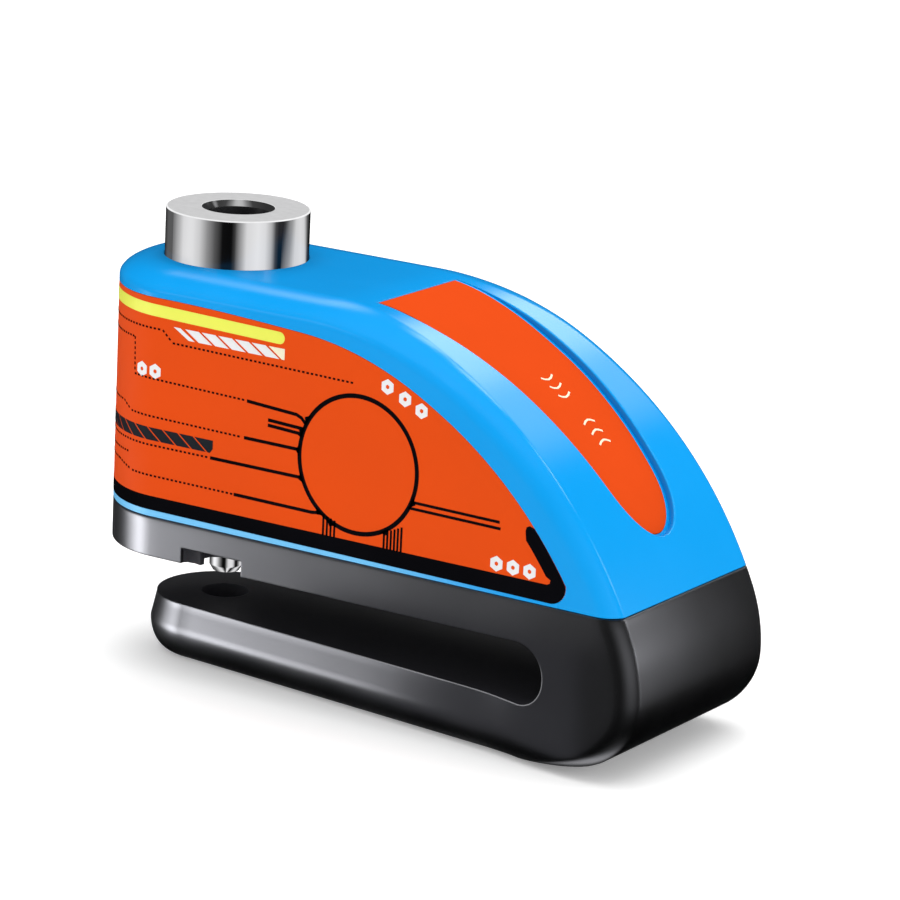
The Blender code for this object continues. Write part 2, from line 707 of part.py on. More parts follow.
SNAP_RING = [(4.6, 34.6), (7.2, 34.6), (7.2, 35.6), (4.6, 35.6)]
snap_ring = piece("core_snap_ring", turned(SNAP_RING, 48), STEEL)
cut(snap_ring, "snap_gap", box((3, 9), around(0, 1.2), (33, 37)))

SLEEVE = [(11.2, 23.3), (13.4, 23.3), (13.4, 52.4), (12.6, 53.4), (12.6, 56.2), (11.2, 56.2)]
sleeve = piece("guide_sleeve", turned(SLEEVE, SIDES), BRASS)
cut(sleeve, "latch_notch", box((-16, -9), around(0, 3.4), (32.3, 36.5)))
cut(sleeve, "switch_window", box((9, 16), around(0, 2.6), around(SWITCH_Z, 2.0)))
cut(sleeve, "stop_hole", lay_along_y(rod(0, 0, 1.35, 20, 9, 16), 0, STOP_Z))

SEAL_R, SEAL_Z, SEAL_CORD_R = 11.8, 57.1, 0.55
seal = [(SEAL_R + SEAL_CORD_R * math.cos(a), SEAL_Z + SEAL_CORD_R * math.sin(a))
        for a in np.linspace(0, 2 * math.pi, 9)[:-1]]
piece("o_ring_seal", turned(seal, 56), RUBBER)

# (radius, y)
STOP_SCREW = [(0, 9.4), (0.85, 9.4), (1.05, 9.8), (1.05, 13.3), (0, 13.3)]
piece("stop_screw", lay_along_y(turned(STOP_SCREW, 16), 0, STOP_Z), SCREW)
piece("return_spring", coil(
    radius=8.5, wire_r=0.5, z0=21.7, z1=33.0, turns=3.5, sides=6, per_turn=16), STEEL)

# ---------------------------------------------------------------- alarm board
BOARD_SCREW_XS = (24.2, 67.6)
PARTS_Z = 28.9           # underside of the parts on the board
SIREN_X = 44.5
BOARD_SCREW = [
    (0, 22.9), (0.8, 22.9), (0.8, PARTS_Z), (1.9, PARTS_Z), (1.9, 29.7), (0.6, 29.7),
    (0.6, 29.3), (0, 29.3),
]
SIREN = [
    (11.0, PARTS_Z), (11.0, 36.5), (9.9, 37.3), (2.2, 37.3), (2.2, 36.1), (9.7, 36.1),
    (9.7, 30.0), (0, 30.0), (0, PARTS_Z),
]
SENSOR = [(0, PARTS_Z), (1.9, PARTS_Z), (1.9, 35.3), (1.4, 35.8), (0, 35.8)]

board = piece("circuit_board", box((22.0, 70.0), around(0, 10.0), (27.0, 28.6)), BOARD)
for i, x in enumerate(BOARD_SCREW_XS, 1):
    cut(board, f"board_{i}", rod(x, 0, 1.3, 16, 26, 30))
    add(lower_body, f"post_{i}", rod(x, 0, 2.4, 20, PART_Z - 1.0, 26.7), GREY)
    cut(lower_body, f"post_{i}", rod(x, 0, 1.1, 16, 22.4, 28))
    piece(f"board_screw_{i}", turned(BOARD_SCREW, 14, x), SCREW)
piece("controller_chip", box((57.0, 63.0), around(0, 3.0), (PARTS_Z, 30.3)), BLACK)
piece("siren_housing", turned(SIREN, 40, SIREN_X), BLACK)
piece("siren_disc", rod(SIREN_X, 0, 9.3, 36, 32.4, 32.8), BRASS)
piece("vibration_sensor", turned(SENSOR, 18, 61.0, 7.0), STEEL)

# ---------------------------------------------------------------- batteries
BATTERY_X, BATTERY_Z = 27.1, 38.2    # axis of the cells, which lie along y
HOLDER_TOP = 37.5
BAY_HALF = 9.4                       # half length of the cells' bay

holder = piece("battery_holder", box(
    around(BATTERY_X, 5.5), around(0, 10.6), (PARTS_Z, HOLDER_TOP)), BLACK)
cut(holder, "holder", lay_along_y(
    rod(0, 0, 6.1, 36, -BAY_HALF, BAY_HALF), BATTERY_X, BATTERY_Z))
cut(holder, "holder_top", box(around(BATTERY_X, 6.0), around(0, BAY_HALF), (36.6, 44)))
cut(holder, "holder_screw", rod(BOARD_SCREW_XS[0], 0, 2.4, 20, 27, 35))

# (radius, distance from the cell's -Y end)
BATTERY = [(0, 0), (5.45, 0), (5.75, 0.3), (5.75, 4.9), (4.6, 4.9), (4.6, 5.2), (0, 5.2)]
CELL_Y0 = -7.6
CELL_PITCH = 5.5
for k in range(3):
    y0 = CELL_Y0 + CELL_PITCH * k
    cell = turned([(r, y0 + y) for r, y in BATTERY], 32)
    piece(f"battery_cell_{k + 1}", lay_along_y(cell, BATTERY_X, BATTERY_Z), CELL)
piece("battery_contact", box(around(BATTERY_X, 2.6), (8.95, 9.25), (34.2, 42.0)), BRASS)
# (radius, y)
CONTACT_SPRING = [(0.6, -9.2), (3.4, -9.2), (3.4, -8.9), (1.6, -8.1), (0.6, -8.1)]
piece("battery_spring", lay_along_y(turned(CONTACT_SPRING, 20), BATTERY_X, BATTERY_Z), STEEL)

# ---------------------------------------------------------------- switch
BUTTON_HALF = 1.0        # half height of the button
BUTTON_GAP = 0.12        # from the ramp, in x
BUTTON_END_X = 17.2

switch = piece("micro_switch", box((13.8, 20.6), around(0, 6.0), (38.6, 46.4)), BLACK)
cut(switch, "button_hole", box((12, 18.4), around(0, 1.7), around(SWITCH_Z, 1.3)))

# the button's face is parallel to the ramp
button_z0, button_z1 = around(SWITCH_Z, BUTTON_HALF)
button_x = RAMP_X + RAMP_SLOPE * (button_z0 - RAMP_Z) + BUTTON_GAP
button = [
    (button_x, button_z0), (button_x + RAMP_SLOPE * 2 * BUTTON_HALF, button_z1),
    (BUTTON_END_X, button_z1), (BUTTON_END_X, button_z0),
]
piece("switch_button", side_prism(button, 1.4), ORANGE)
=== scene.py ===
"""Push-down alarm disc lock: cast body, painted housing with a printed label, key cylinder.

Shapes are drawn in mm from the lock axis: the nose points to +X, the rear to -X, the near
wall is at -Y and +Z is up. They are turned into metres and moved to LOCK_X in the frame.
"""
import math

import bmesh
import bpy
import numpy as np
from mathutils import Matrix, Vector
from mathutils.bvhtree import BVHTree
from mathutils.interpolate import poly_3d_calc


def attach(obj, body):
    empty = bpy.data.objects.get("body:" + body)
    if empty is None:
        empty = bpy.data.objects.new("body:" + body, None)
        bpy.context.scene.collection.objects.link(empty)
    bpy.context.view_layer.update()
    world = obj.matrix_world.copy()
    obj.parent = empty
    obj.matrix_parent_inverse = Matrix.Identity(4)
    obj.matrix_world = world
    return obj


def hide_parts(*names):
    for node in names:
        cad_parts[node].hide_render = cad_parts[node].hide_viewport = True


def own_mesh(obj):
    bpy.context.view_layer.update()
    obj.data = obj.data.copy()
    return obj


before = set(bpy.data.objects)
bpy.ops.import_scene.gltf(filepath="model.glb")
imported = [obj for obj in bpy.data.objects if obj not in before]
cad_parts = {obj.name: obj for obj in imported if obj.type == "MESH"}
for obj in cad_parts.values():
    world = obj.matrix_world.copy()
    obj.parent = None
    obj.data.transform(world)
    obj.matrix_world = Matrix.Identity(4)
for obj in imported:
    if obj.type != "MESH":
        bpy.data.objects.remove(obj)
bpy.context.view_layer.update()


MM = 0.001
QUARTER = math.pi / 2
scene = bpy.context.scene

# ---------------------------------------------------------------- sizes and places (mm)
LOCK_X = -34.35  # the lock axis in the frame
REAR_LENGTH = 16.3  # lock axis to the rear of the body
HALF_WIDTH = 20.1
TOP_Z = 62.4
PART_Z = 25.0  # joint between cast body and housing
PART_GAP = 0.16
PART_ROUND = 0.35  # height of the rounded edge of the cast body at the joint

UNDER_Z = 4.9  # the rounding of the underside ends here
JAW_TOP = 9.0
JAW_RADIUS, JAW_SLOPE = 11.4, 0.107
SLOT_TOP = 18.9
SLOT_END_X = 64.9  # centre of the slot's round end
SLOT_RADIUS = (SLOT_TOP - JAW_TOP) / 2

ARC_X0 = 26.34  # the flat top ends here and the top line starts to fall
ARCS = ((52.56, 26.0), (70.4, 66.0), (24.6, 90.0))  # radius, slope in degrees at its end
NOSE_DEPTH, NOSE_HEIGHT = 16.0, 12.5  # quarter ellipse under the nose
SHOULDER_DROP = 3.1
RIDGE_INSET_SHARE = 0.6  # how much of a side inset the ridge takes

CHANNEL_X = 32.95  # rear end of the channel in the top
CHANNEL_HALF = 10.3
CHANNEL_END_LENGTH = 9.6
CHANNEL_TIP_RUN = 60.6
CHANNEL_ROUND_RUN = CHANNEL_TIP_RUN - CHANNEL_END_LENGTH  # the rounded end starts here

LABEL_LOW, LABEL_FALL = 26.2, 0.0075
LABEL_END_X = 73.0
LABEL_CORNER = 2.6
PRINT_LOW, PRINT_HIGH = 0.004, 0.035  # the ink's lower and upper face above the wall
PRINT_BAND_TOP = 28.3

RING_RADIUS = 11.0
RING_TOP = 69.8
KEY_HOLE_RADIUS = 5.5
PIN_RADIUS = 2.6
PIN_TIP_Z = 12.4
PIN_HOLE_RADIUS = 3.65
SCREWS = ((19.5, 14.0), (57.5, 14.0), (57.5, -14.0), (19.5, -14.0))  # x, y


def clamp(value):
    return min(max(value, 0.0), 1.0)


def smoothstep(share):
    share = clamp(share)
    return share * share * (3 - 2 * share)


def lerp(start, end, share):
    return start + (end - start) * share


# ---------------------------------------------------------------- node helper
class Graph:
    """Adds nodes to one tree; a value may be a number, a colour or the socket feeding it."""

    def __init__(self, tree):
        self.tree = tree

    @property
    def bsdf(self):
        return self.tree.nodes["Principled BSDF"]

    def feed(self, socket, value):
        if isinstance(value, bpy.types.NodeSocket):
            self.tree.links.new(value, socket)
        else:
            socket.default_value = value

    def set(self, node, **values):
        for name, value in values.items():
            self.feed(node.inputs[name.replace("_", " ")], value)

    def add(self, kind, **values):
        node = self.tree.nodes.new("ShaderNode" + kind)
        self.set(node, **values)
        return node

    def split(self, vector):
        return self.add("SeparateXYZ", Vector=vector).outputs

    def noise(self, vector, scale, detail=2.0):
        return self.add("TexNoise", Vector=vector, Scale=scale, Detail=detail).outputs["Fac"]

    def math(self, operation, first, second):
        node = self.add("Math")
        node.operation = operation
        self.feed(node.inputs[0], first)
        self.feed(node.inputs[1], second)
        return node.outputs[0]

    def dot(self, first, second):
        node = self.add("VectorMath")
        node.operation = "DOT_PRODUCT"
        self.feed(node.inputs[0], first)
        self.feed(node.inputs[1], second)
        return node.outputs["Value"]

    def map_range(self, source, low, high, to_low=0.0, to_high=1.0, smooth=False):
        node = self.add("MapRange", Value=source, From_Min=low, From_Max=high,
                        To_Min=to_low, To_Max=to_high)
        if smooth:
            node.interpolation_type = "SMOOTHSTEP"
        return node.outputs["Result"]

    def ramp(self, source, stops):
        """Colour ramp from (position, colour) stops; a single number is a grey."""
        node = self.add("ValToRGB", Fac=source)
        elements = node.color_ramp.elements
        while len(elements) < len(stops):
            elements.new(0.5)
        for element, (position, colour) in zip(elements, stops):
            if isinstance(colour, float):
                colour = (colour,) * 3
            element.position = position
            element.color = (*colour, 1.0)
        return node.outputs["Color"]

    def drift(self, source, colour, vary):
        """A colour that wanders a little darker and lighter."""
        return self.ramp(source, [(0.3, grade(colour, 1 - vary)), (0.7, grade(colour, 1 + vary))])

    def compass(self, direction, panels, blue=1.0):
        """Brightness from the compass angle of a split direction; panels are in degrees."""
        angle = self.math("ARCTAN2", direction["Y"], direction["X"])
        turn = self.map_range(angle, -math.pi, math.pi)
        return self.ramp(turn, [((degrees + 180) / 360, (grey, grey, grey * blue))
                                for degrees, grey in panels])

    def mix(self, factor, first, second, blend="MIX"):
        node = self.add("Mix")
        node.data_type = "RGBA"
        node.blend_type = blend
        for index, value in ((0, factor), (6, first), (7, second)):
            self.feed(node.inputs[index], value)
        return node.outputs[2]

    def mix_shader(self, factor, first, second):
        node = self.add("MixShader", Fac=factor)
        self.feed(node.inputs[1], first)
        self.feed(node.inputs[2], second)
        return node.outputs["Shader"]


# ---------------------------------------------------------------- materials
MATERIALS = {}


def new_material(name):
    material = bpy.data.materials.new(name)
    material.use_nodes = True
    MATERIALS[name] = material
    return Graph(material.node_tree)


def grade(colour, factor):
    return tuple(clamp(value * factor) for value in colour)


def surface(name, colour, rough, vary, metal=0.0, grain=0.02, grain_scale=2500.0, edge=0.0,
            spec=0.5, rough_vary=0.15, stretch=None):
    """Paint, plastic or metal.

    vary and rough_vary are the drift of colour and gloss, grain the strength of the fine
    bump, edge the radius in metres of softened edges, stretch a scale of the grain by axis.
    """
    graph = new_material(name)
    coords = graph.add("TexCoord").outputs["Object"]
    slow = graph.noise(coords, 60.0, 3.0)
    grain_coords = coords
    if stretch:
        grain_coords = graph.add("Mapping", Vector=coords, Scale=stretch).outputs["Vector"]
    fine = graph.noise(grain_coords, grain_scale)
    bump = graph.add("Bump", Strength=grain, Distance=0.00005, Height=fine)
    if edge:
        bevel = graph.add("Bevel", Radius=edge)
        bevel.samples = 6
        graph.set(bump, Normal=bevel.outputs["Normal"])
        graph.set(graph.bsdf, Coat_Normal=bevel.outputs["Normal"])
    gloss = graph.map_range(slow, 0.3, 0.7, rough * (1 - rough_vary), rough * (1 + rough_vary))
    graph.set(graph.bsdf, Base_Color=graph.drift(slow, colour, vary), Roughness=gloss,
              Metallic=metal, Specular_IOR_Level=spec, Coat_Roughness=0.08,
              Normal=bump.outputs["Normal"])
    return graph


PAINT_BLUE = (0.0012, 0.310, 0.760)


def lit_edge():
    """Blue with a painted highlight: pale at the rear, fading into the plain paint towards the
    nose.
    """
    graph = surface("blue_paint_lit", (0.15, 0.50, 0.84), 0.3, vary=0.015, grain_scale=4000,
                    spec=0.2)
    pale = graph.bsdf.inputs["Base Color"].links[0].from_socket
    place = graph.split(graph.add("TexCoord").outputs["Object"])
    fade = graph.map_range(place["X"], (LOCK_X + 34.0) * MM, (LOCK_X + 68.0) * MM, smooth=True)
    graph.set(graph.bsdf, Base_Color=graph.mix(fade, pale, (*PAINT_BLUE, 1)))


def painted_edge_glint(graph):
    """Painted highlight on the slot's edges: an emission glint where the softened normal leaves
    the true one, that is only at an edge.
    """
    softened = graph.bsdf.inputs["Coat Normal"].links[0].from_socket
    straight = graph.dot(softened, graph.add("NewGeometry").outputs["True Normal"])
    place = graph.split(graph.add("TexCoord").outputs["Object"])
    glow = None
    for source, start, end, top in (
        (straight, 0.985, 0.93, 1.0),  # at edges
        (place["Z"], 18.0 * MM, 13.0 * MM, 1.0),  # fading out upwards
        (place["Z"], 7.0 * MM, 8.0 * MM, 1.0),  # not below the jaw's top
        (place["X"], (LOCK_X + 8.0) * MM, (LOCK_X + 52.0) * MM, 0.34),  # stronger forwards
    ):
        share = graph.map_range(source, start, end, to_high=top, smooth=True)
        glow = share if glow is None else graph.math("MULTIPLY", glow, share)
    graph.set(graph.bsdf, Emission_Strength=glow, Emission_Color=(0.95, 0.96, 1.0, 1))


def painted_reflection_metal(name, panels, top, top_range):
    """Polished metal with a painted reflection: a glow coloured by the mirrored ray's compass
    angle stands in for upright panels.

    top is the painted grey of faces looking up, top_range the upward normal where it takes over.
    """
    graph = surface(name, (0.80, 0.80, 0.82), 0.16, vary=0.02, metal=1.0, grain_scale=900,
                    stretch=(1, 1, 0.02))
    coords = graph.add("TexCoord").outputs
    room = graph.compass(graph.split(coords["Reflection"]), panels, blue=1.015)
    upward = graph.split(graph.add("NewGeometry").outputs["Normal"])["Z"]
    facing_up = graph.map_range(upward, *top_range, smooth=True)
    painted_top_reflection = graph.drift(graph.noise(coords["Object"], 900.0), (top, top, top * 1.01), 0.04)
    # painted highlight: up-facing faces that tilt towards the edge are drawn brighter
    rim = graph.ramp(upward, [(0.0, 1.45), (0.90, 1.45), (0.975, 1.0)])
    bright = graph.mix(1.0, painted_top_reflection, rim, "MULTIPLY")
    colour = graph.mix(facing_up, room, bright)
    # painted reflection: the metal glows with this colour, and only a twentieth is real gloss
    emission = graph.add("Emission", Color=colour, Strength=1.0).outputs["Emission"]
    shader = graph.mix_shader(0.05, emission, graph.bsdf.outputs["BSDF"])
    graph.set(graph.tree.nodes["Material Output"], Surface=shader)


# compass angle of the mirrored ray in degrees, brightness of the painted reflection
CHROME_PANELS = (
    (-177, 0.20), (-161, 0.46), (-151, 0.68), (-130, 0.74), (-118, 0.62), (-104, 0.28),
    (-91, 0.09), (-79, 0.004), (-64, 0.002), (-59, 0.04), (-47, 0.42), (-40, 0.70),
    (-22, 0.80), (-10, 0.72), (0, 0.44), (8, 0.05), (14, 0.002), (23, 0.002), (28, 0.045),
    (42, 0.30), (52, 0.66), (64, 0.74), (75, 0.68), (88, 0.13), (102, 0.004), (138, 0.01),
    (160, 0.10),
)
BORE_PANELS = (
    (-180, 0.03), (-130, 0.05), (-104, 0.22), (-80, 0.46), (-58, 0.52), (-36, 0.46),
    (-12, 0.22), (14, 0.06), (60, 0.03), (150, 0.03),
)


def build_materials():
    """Arguments of surface: name, colour, roughness, then the named settings."""
    surface("blue_paint", PAINT_BLUE, 0.18, vary=0.015, grain_scale=4000, edge=0.0002, spec=0.42)
    surface("orange_vinyl", (0.69, 0.067, 0.005), 0.5, vary=0.02, spec=0.04)
    surface("orange_inlay", (0.64, 0.063, 0.009), 0.5, vary=0.02, edge=0.0001, spec=0.0)
    surface("ink_black", (0.003, 0.003, 0.004), 0.5, vary=0.2, spec=0.0)
    surface("ink_charcoal", (0.013, 0.015, 0.019), 0.5, vary=0.2, spec=0.02)
    surface("ink_white", (0.74, 0.74, 0.75), 0.5, vary=0.03)
    surface("ink_yellow", (0.76, 0.79, 0.070), 0.45, vary=0.03)
    surface("ink_cream", (0.82, 0.75, 0.55), 0.5, vary=0.03)
    # painted highlight: emission glint on the cast body's slot edges
    painted_edge_glint(surface("gunmetal_cast", (0.190, 0.192, 0.206), 0.315, vary=0.05, metal=1.0,
                      grain=0.10, grain_scale=2400, edge=0.0003, rough_vary=0.07))
    lit_edge()
    # darker blue: painted shade for the channel's walls
    surface("blue_paint_shade", (0.001, 0.215, 0.62), 0.3, vary=0.015, grain_scale=4000, spec=0.2)
    # painted highlight: emission glint on the black slot lining's edges
    painted_edge_glint(surface("black_textured", (0.030, 0.030, 0.036), 0.55, vary=0.15, grain=0.45,
                      grain_scale=2600, edge=0.0003, spec=0.2))
    painted_reflection_metal("chrome", CHROME_PANELS, top=0.64, top_range=(0.35, 0.60))
    painted_reflection_metal("chrome_bore", BORE_PANELS, top=0.45, top_range=(0.86, 0.98))
    surface("machined_steel", (0.46, 0.46, 0.48), 0.34, vary=0.05, metal=1.0, grain=0.12,
            grain_scale=1500, edge=0.00015)
    surface("brass", (0.66, 0.47, 0.18), 0.34, vary=0.05, metal=1.0, grain=0.1, edge=0.00015)
    # black plastic parts; also painted shade on the walls inside the lock barrel
    surface("black_moulding_and_painted_shade", (0.012, 0.012, 0.014), 0.45, vary=0.15, grain=0.15, edge=0.0002)
    surface("rubber", (0.014, 0.014, 0.014), 0.8, vary=0.15, grain=0.2, edge=0.0001)
    surface("board_green", (0.01, 0.12, 0.05), 0.4, vary=0.15, grain=0.08, edge=0.0001)
    surface("cell_nickel", (0.60, 0.60, 0.58), 0.25, vary=0.05, metal=1.0, grain=0.06,
            edge=0.0001)
    surface("zinc_plate", (0.50, 0.51, 0.54), 0.35, vary=0.08, metal=1.0, grain=0.08,
            edge=0.00015)


# ---------------------------------------------------------------- objects
def link_object(name, mesh, materials=()):
    data = bpy.data.meshes.new(name)
    mesh.to_mesh(data)
    mesh.free()
    for material in materials:
        data.materials.append(MATERIALS[material])
    piece = bpy.data.objects.new(name, data)
    scene.collection.objects.link(piece)
    return piece


def to_frame(mesh):
    bmesh.ops.transform(mesh, matrix=Matrix.Translation((LOCK_X * MM, 0, 0)), verts=mesh.verts)


def smooth_below(data, degrees):
    data.shade_smooth()
    data.set_sharp_from_angle(angle=math.radians(degrees))


def mesh_object(name, mesh, materials=(), merge=3e-7):
    bmesh.ops.remove_doubles(mesh, verts=mesh.verts, dist=merge)
    bmesh.ops.dissolve_degenerate(mesh, edges=mesh.edges, dist=merge)
    bmesh.ops.recalc_face_normals(mesh, faces=mesh.faces)
    if mesh.calc_volume(signed=True) < 0:
        bmesh.ops.reverse_faces(mesh, faces=mesh.faces)
    to_frame(mesh)
    piece = link_object(name, mesh, materials)
    smooth_below(piece.data, 32.0)
    return piece


def register(piece, ride, replaces=None):
    """Tells the frame what the piece moves with and what it stands for."""
    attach(piece, ride)
    if replaces:
        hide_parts(replaces)


CUT, JOIN = "DIFFERENCE", "UNION"


def carve(piece, steps):
    """Applies each (operation, mesh) in turn, then throws the tools away."""
    tools = []
    for operation, mesh in steps:
        tool = mesh_object("tool", mesh)
        tools.append(tool)
        modifier = piece.modifiers.new(tool.name, "BOOLEAN")
        modifier.operation = operation
        modifier.object = tool
        modifier.solver = "EXACT"
    bpy.context.view_layer.update()
    depsgraph = bpy.context.evaluated_depsgraph_get()
    data = bpy.data.meshes.new_from_object(piece.evaluated_get(depsgraph), depsgraph=depsgraph)
    piece.modifiers.clear()
    piece.data = data
    for tool in tools:
        bpy.data.objects.remove(tool, do_unlink=True)
    smooth_below(data, 30)


def paint_where(piece, material, test):
    """Gives another material to the faces whose centre in mm and normal pass the test."""
    data = piece.data
    names = [slot.name if slot else "" for slot in data.materials]
    if material not in names:
        data.materials.append(MATERIALS[material])
        names.append(material)
    index = names.index(material)
    for face in data.polygons:
        centre = face.center / MM
        if test(centre.x - LOCK_X, centre.y, centre.z, face.normal):
            face.material_index = index


def shape_of(piece):
    """The uncut surface and its shading, as give_back needs them."""
    data = piece.data
    points = [vertex.co.copy() for vertex in data.vertices]
    faces = [tuple(face.vertices) for face in data.polygons]
    shading = [corner.vector.copy() for corner in data.corner_normals]
    corners = [[shading[i] for i in face.loop_indices] for face in data.polygons]
    flats = [face.normal.copy() for face in data.polygons]
    return BVHTree.FromPolygons(points, faces), points, faces, corners, flats


def give_back(piece, shape):
    """Restores the uncut shading on whatever the cuts left of the surface."""
    tree, points, faces, corners, flats = shape
    data = piece.data
    normals = [corner.vector.copy() for corner in data.corner_normals]
    for face in data.polygons:
        centre = face.center
        _, _, found, distance = tree.find_nearest(centre, 0.0002)
        if found is None or distance > 3e-5 or face.normal.dot(flats[found]) < 0.96:
            continue
        for loop in face.loop_indices:
            # a little inside the corner, to stay on this side of an edge
            corner = data.vertices[data.loops[loop].vertex_index].co.lerp(centre, 0.03)
            spot, _, found, _ = tree.find_nearest(corner, 0.0002)
            if found is None or flats[found].dot(face.normal) < 0.9:
                continue
            if len(faces[found]) > 5:
                normals[loop] = flats[found].copy()
                continue
            total = Vector((0, 0, 0))
            weights = poly_3d_calc([points[i] for i in faces[found]], spot)
            for weight, normal in zip(weights, corners[found]):
                total += normal * weight
            if total.length > 0.5:
                normals[loop] = total.normalized()
    data.normals_split_custom_set(normals)


def even_normals(piece):
    modifier = piece.modifiers.new("weighted", "WEIGHTED_NORMAL")
    modifier.keep_sharp = True
    modifier.weight = 60
    modifier.thresh = 0.01


# ---------------------------------------------------------------- mesh makers (points in mm)
def place(mesh, points):
    return [mesh.verts.new((x * MM, y * MM, z * MM)) for x, y, z in points]


def mirror(points):
    return [(x, -y, z) for x, y, z in points]


def circle(x, y, radius, count, turn=0.013):
    angles = [turn + 2 * math.pi * k / count for k in range(count)]
    return [(x + radius * math.cos(a), y + radius * math.sin(a)) for a in angles]


def bridge(mesh, here, there):
    """A closed band of faces between two rings of vertices."""
    for i in range(len(here)):
        j = (i + 1) % len(here)
        mesh.faces.new((here[i], here[j], there[j], there[i]))


def loft(rings, mesh=None, closed=False):
    """A solid through rings of points: with two end faces, or closed on itself."""
    if mesh is None:
        mesh = bmesh.new()
    rings = [place(mesh, ring) for ring in rings]
    for here, there in zip(rings, rings[1:]):
        bridge(mesh, here, there)
    if closed:
        bridge(mesh, rings[-1], rings[0])
    else:
        mesh.faces.new(rings[0])
        mesh.faces.new(rings[-1])
    return mesh


def add_prism(mesh, low, high):
    mesh.faces.new(low)
    mesh.faces.new(high)
    bridge(mesh, low, high)


def prism(points, z0, z1):
    mesh = bmesh.new()
    low, high = [place(mesh, [(x, y, z) for x, y in points]) for z in (z0, z1)]
    add_prism(mesh, low, high)
    return mesh


def box(x0, x1, y0, y1, z0, z1):
    return prism([(x0, y0), (x1, y0), (x1, y1), (x0, y1)], z0, z1)


def side_prism(points, half, lift=0.0):
    """A prism across the body from an outline of (x, z)."""
    mesh = prism(points, -half, half)
    upright = Matrix.Rotation(QUARTER, 4, "X")
    matrix = Matrix.Translation((0, 0, lift * MM)) @ upright
    bmesh.ops.transform(mesh, matrix=matrix, verts=mesh.verts)
    return mesh


def turned(profile, count, x=0.0, y=0.0):
    """A closed outline of (radius, z) turned about an upright axis at x, y."""
    mesh = bmesh.new()
    rings = []
    for k in range(count):
        angle = 2 * math.pi * k / count
        rings.append([
            None if radius < 1e-6 else
            place(mesh, [(x + radius * math.cos(angle), y + radius * math.sin(angle), z)])[0]
            for radius, z in profile
        ])
    poles = {i: place(mesh, [(x, y, z)])[0] for i, (radius, z) in enumerate(profile)
             if radius < 1e-6}
    rings = [[vertex or poles[i] for i, vertex in enumerate(ring)] for ring in rings]
    for k in range(count):
        here, there = rings[k], rings[(k + 1) % count]
        for i in range(len(profile)):
            j = (i + 1) % len(profile)
            face = list(dict.fromkeys((here[i], here[j], there[j], there[i])))
            if len(face) > 2:
                mesh.faces.new(face)
    return mesh


def fillet(profile, radii, steps):
    """Rounds corners of a closed (radius, z) outline; radii maps index to fillet radius."""
    rounded = []
    for i, point in enumerate(profile):
        if i not in radii:
            rounded.append(point)
            continue
        radius = radii[i]
        corner = Vector(point)
        to_last = (Vector(profile[i - 1]) - corner).normalized()
        to_next = (Vector(profile[(i + 1) % len(profile)]) - corner).normalized()
        half = to_last.angle(to_next) / 2
        reach = radius / math.tan(half)
        centre = corner + (to_last + to_next).normalized() * (radius / math.sin(half))
        start = corner + to_last * reach - centre
        end = corner + to_next * reach - centre
        first = math.atan2(start.y, start.x)
        sweep = (math.atan2(end.y, end.x) - first + math.pi) % (2 * math.pi) - math.pi
        for k in range(steps + 1):
            angle = first + sweep * k / steps
            rounded.append((centre.x + radius * math.cos(angle),
                            centre.y + radius * math.sin(angle)))
    return rounded


# ---------------------------------------------------------------- body shape
# A run is a length along the top line, 0 at ARC_X0 and growing towards the nose.
def profile_at(run):
    """(x, z, slope angle) of the top line."""
    x, z, start = ARC_X0, TOP_Z, 0.0
    if run <= 0:
        return x + run, z, 0.0
    for radius, degrees in ARCS:
        end = math.radians(degrees)
        length = radius * (end - start)
        centre_x, centre_z = x - radius * math.sin(start), z - radius * math.cos(start)
        if run <= length or degrees == ARCS[-1][1]:
            angle = min(start + run / radius, end)
            return centre_x + radius * math.sin(angle), centre_z + radius * math.cos(angle), angle
        run -= length
        x, z, start = centre_x + radius * math.sin(end), centre_z + radius * math.cos(end), end


def below_top(run, depth):
    """(x, z) at a depth square to the top line."""
    x, z, slope = profile_at(run)
    return x - math.sin(slope) * depth, z - math.cos(slope) * depth


ARC_LENGTH = sum(radius * math.radians(end - start)
                 for (radius, end), start in zip(ARCS, (0.0, ARCS[0][1], ARCS[1][1])))


def find_run(low, before):
    """The run, between low and the nose, up to which before(run) holds."""
    high = ARC_LENGTH
    for _ in range(50):
        middle = (low + high) / 2
        if before(middle):
            low = middle
        else:
            high = middle
    return low


def run_at_x(x):
    return find_run(-60.0, lambda run: profile_at(run)[0] < x)


def ridge_half(x):
    """Half width of the top between its rounded shoulders."""
    return 12.8 + (15.4 - 12.8) * smoothstep((x - 30) / 22) + 2.1 * smoothstep((x - 42) / 36)


def shoulder(share):
    """Fall of the rounded shoulder, from 0 at the ridge to 1 at the wall."""
    return 1 - math.sqrt(max(0.0, 1 - share ** 1.5))


def rung_shares(count):
    """Shares from ridge to wall, with extra ones near the ridge when finely divided."""
    fine = [0.0, 0.012, 0.05] if count > 8 else [0.0]
    return fine + [math.sin(k / count * QUARTER) for k in range(1, count + 1)]


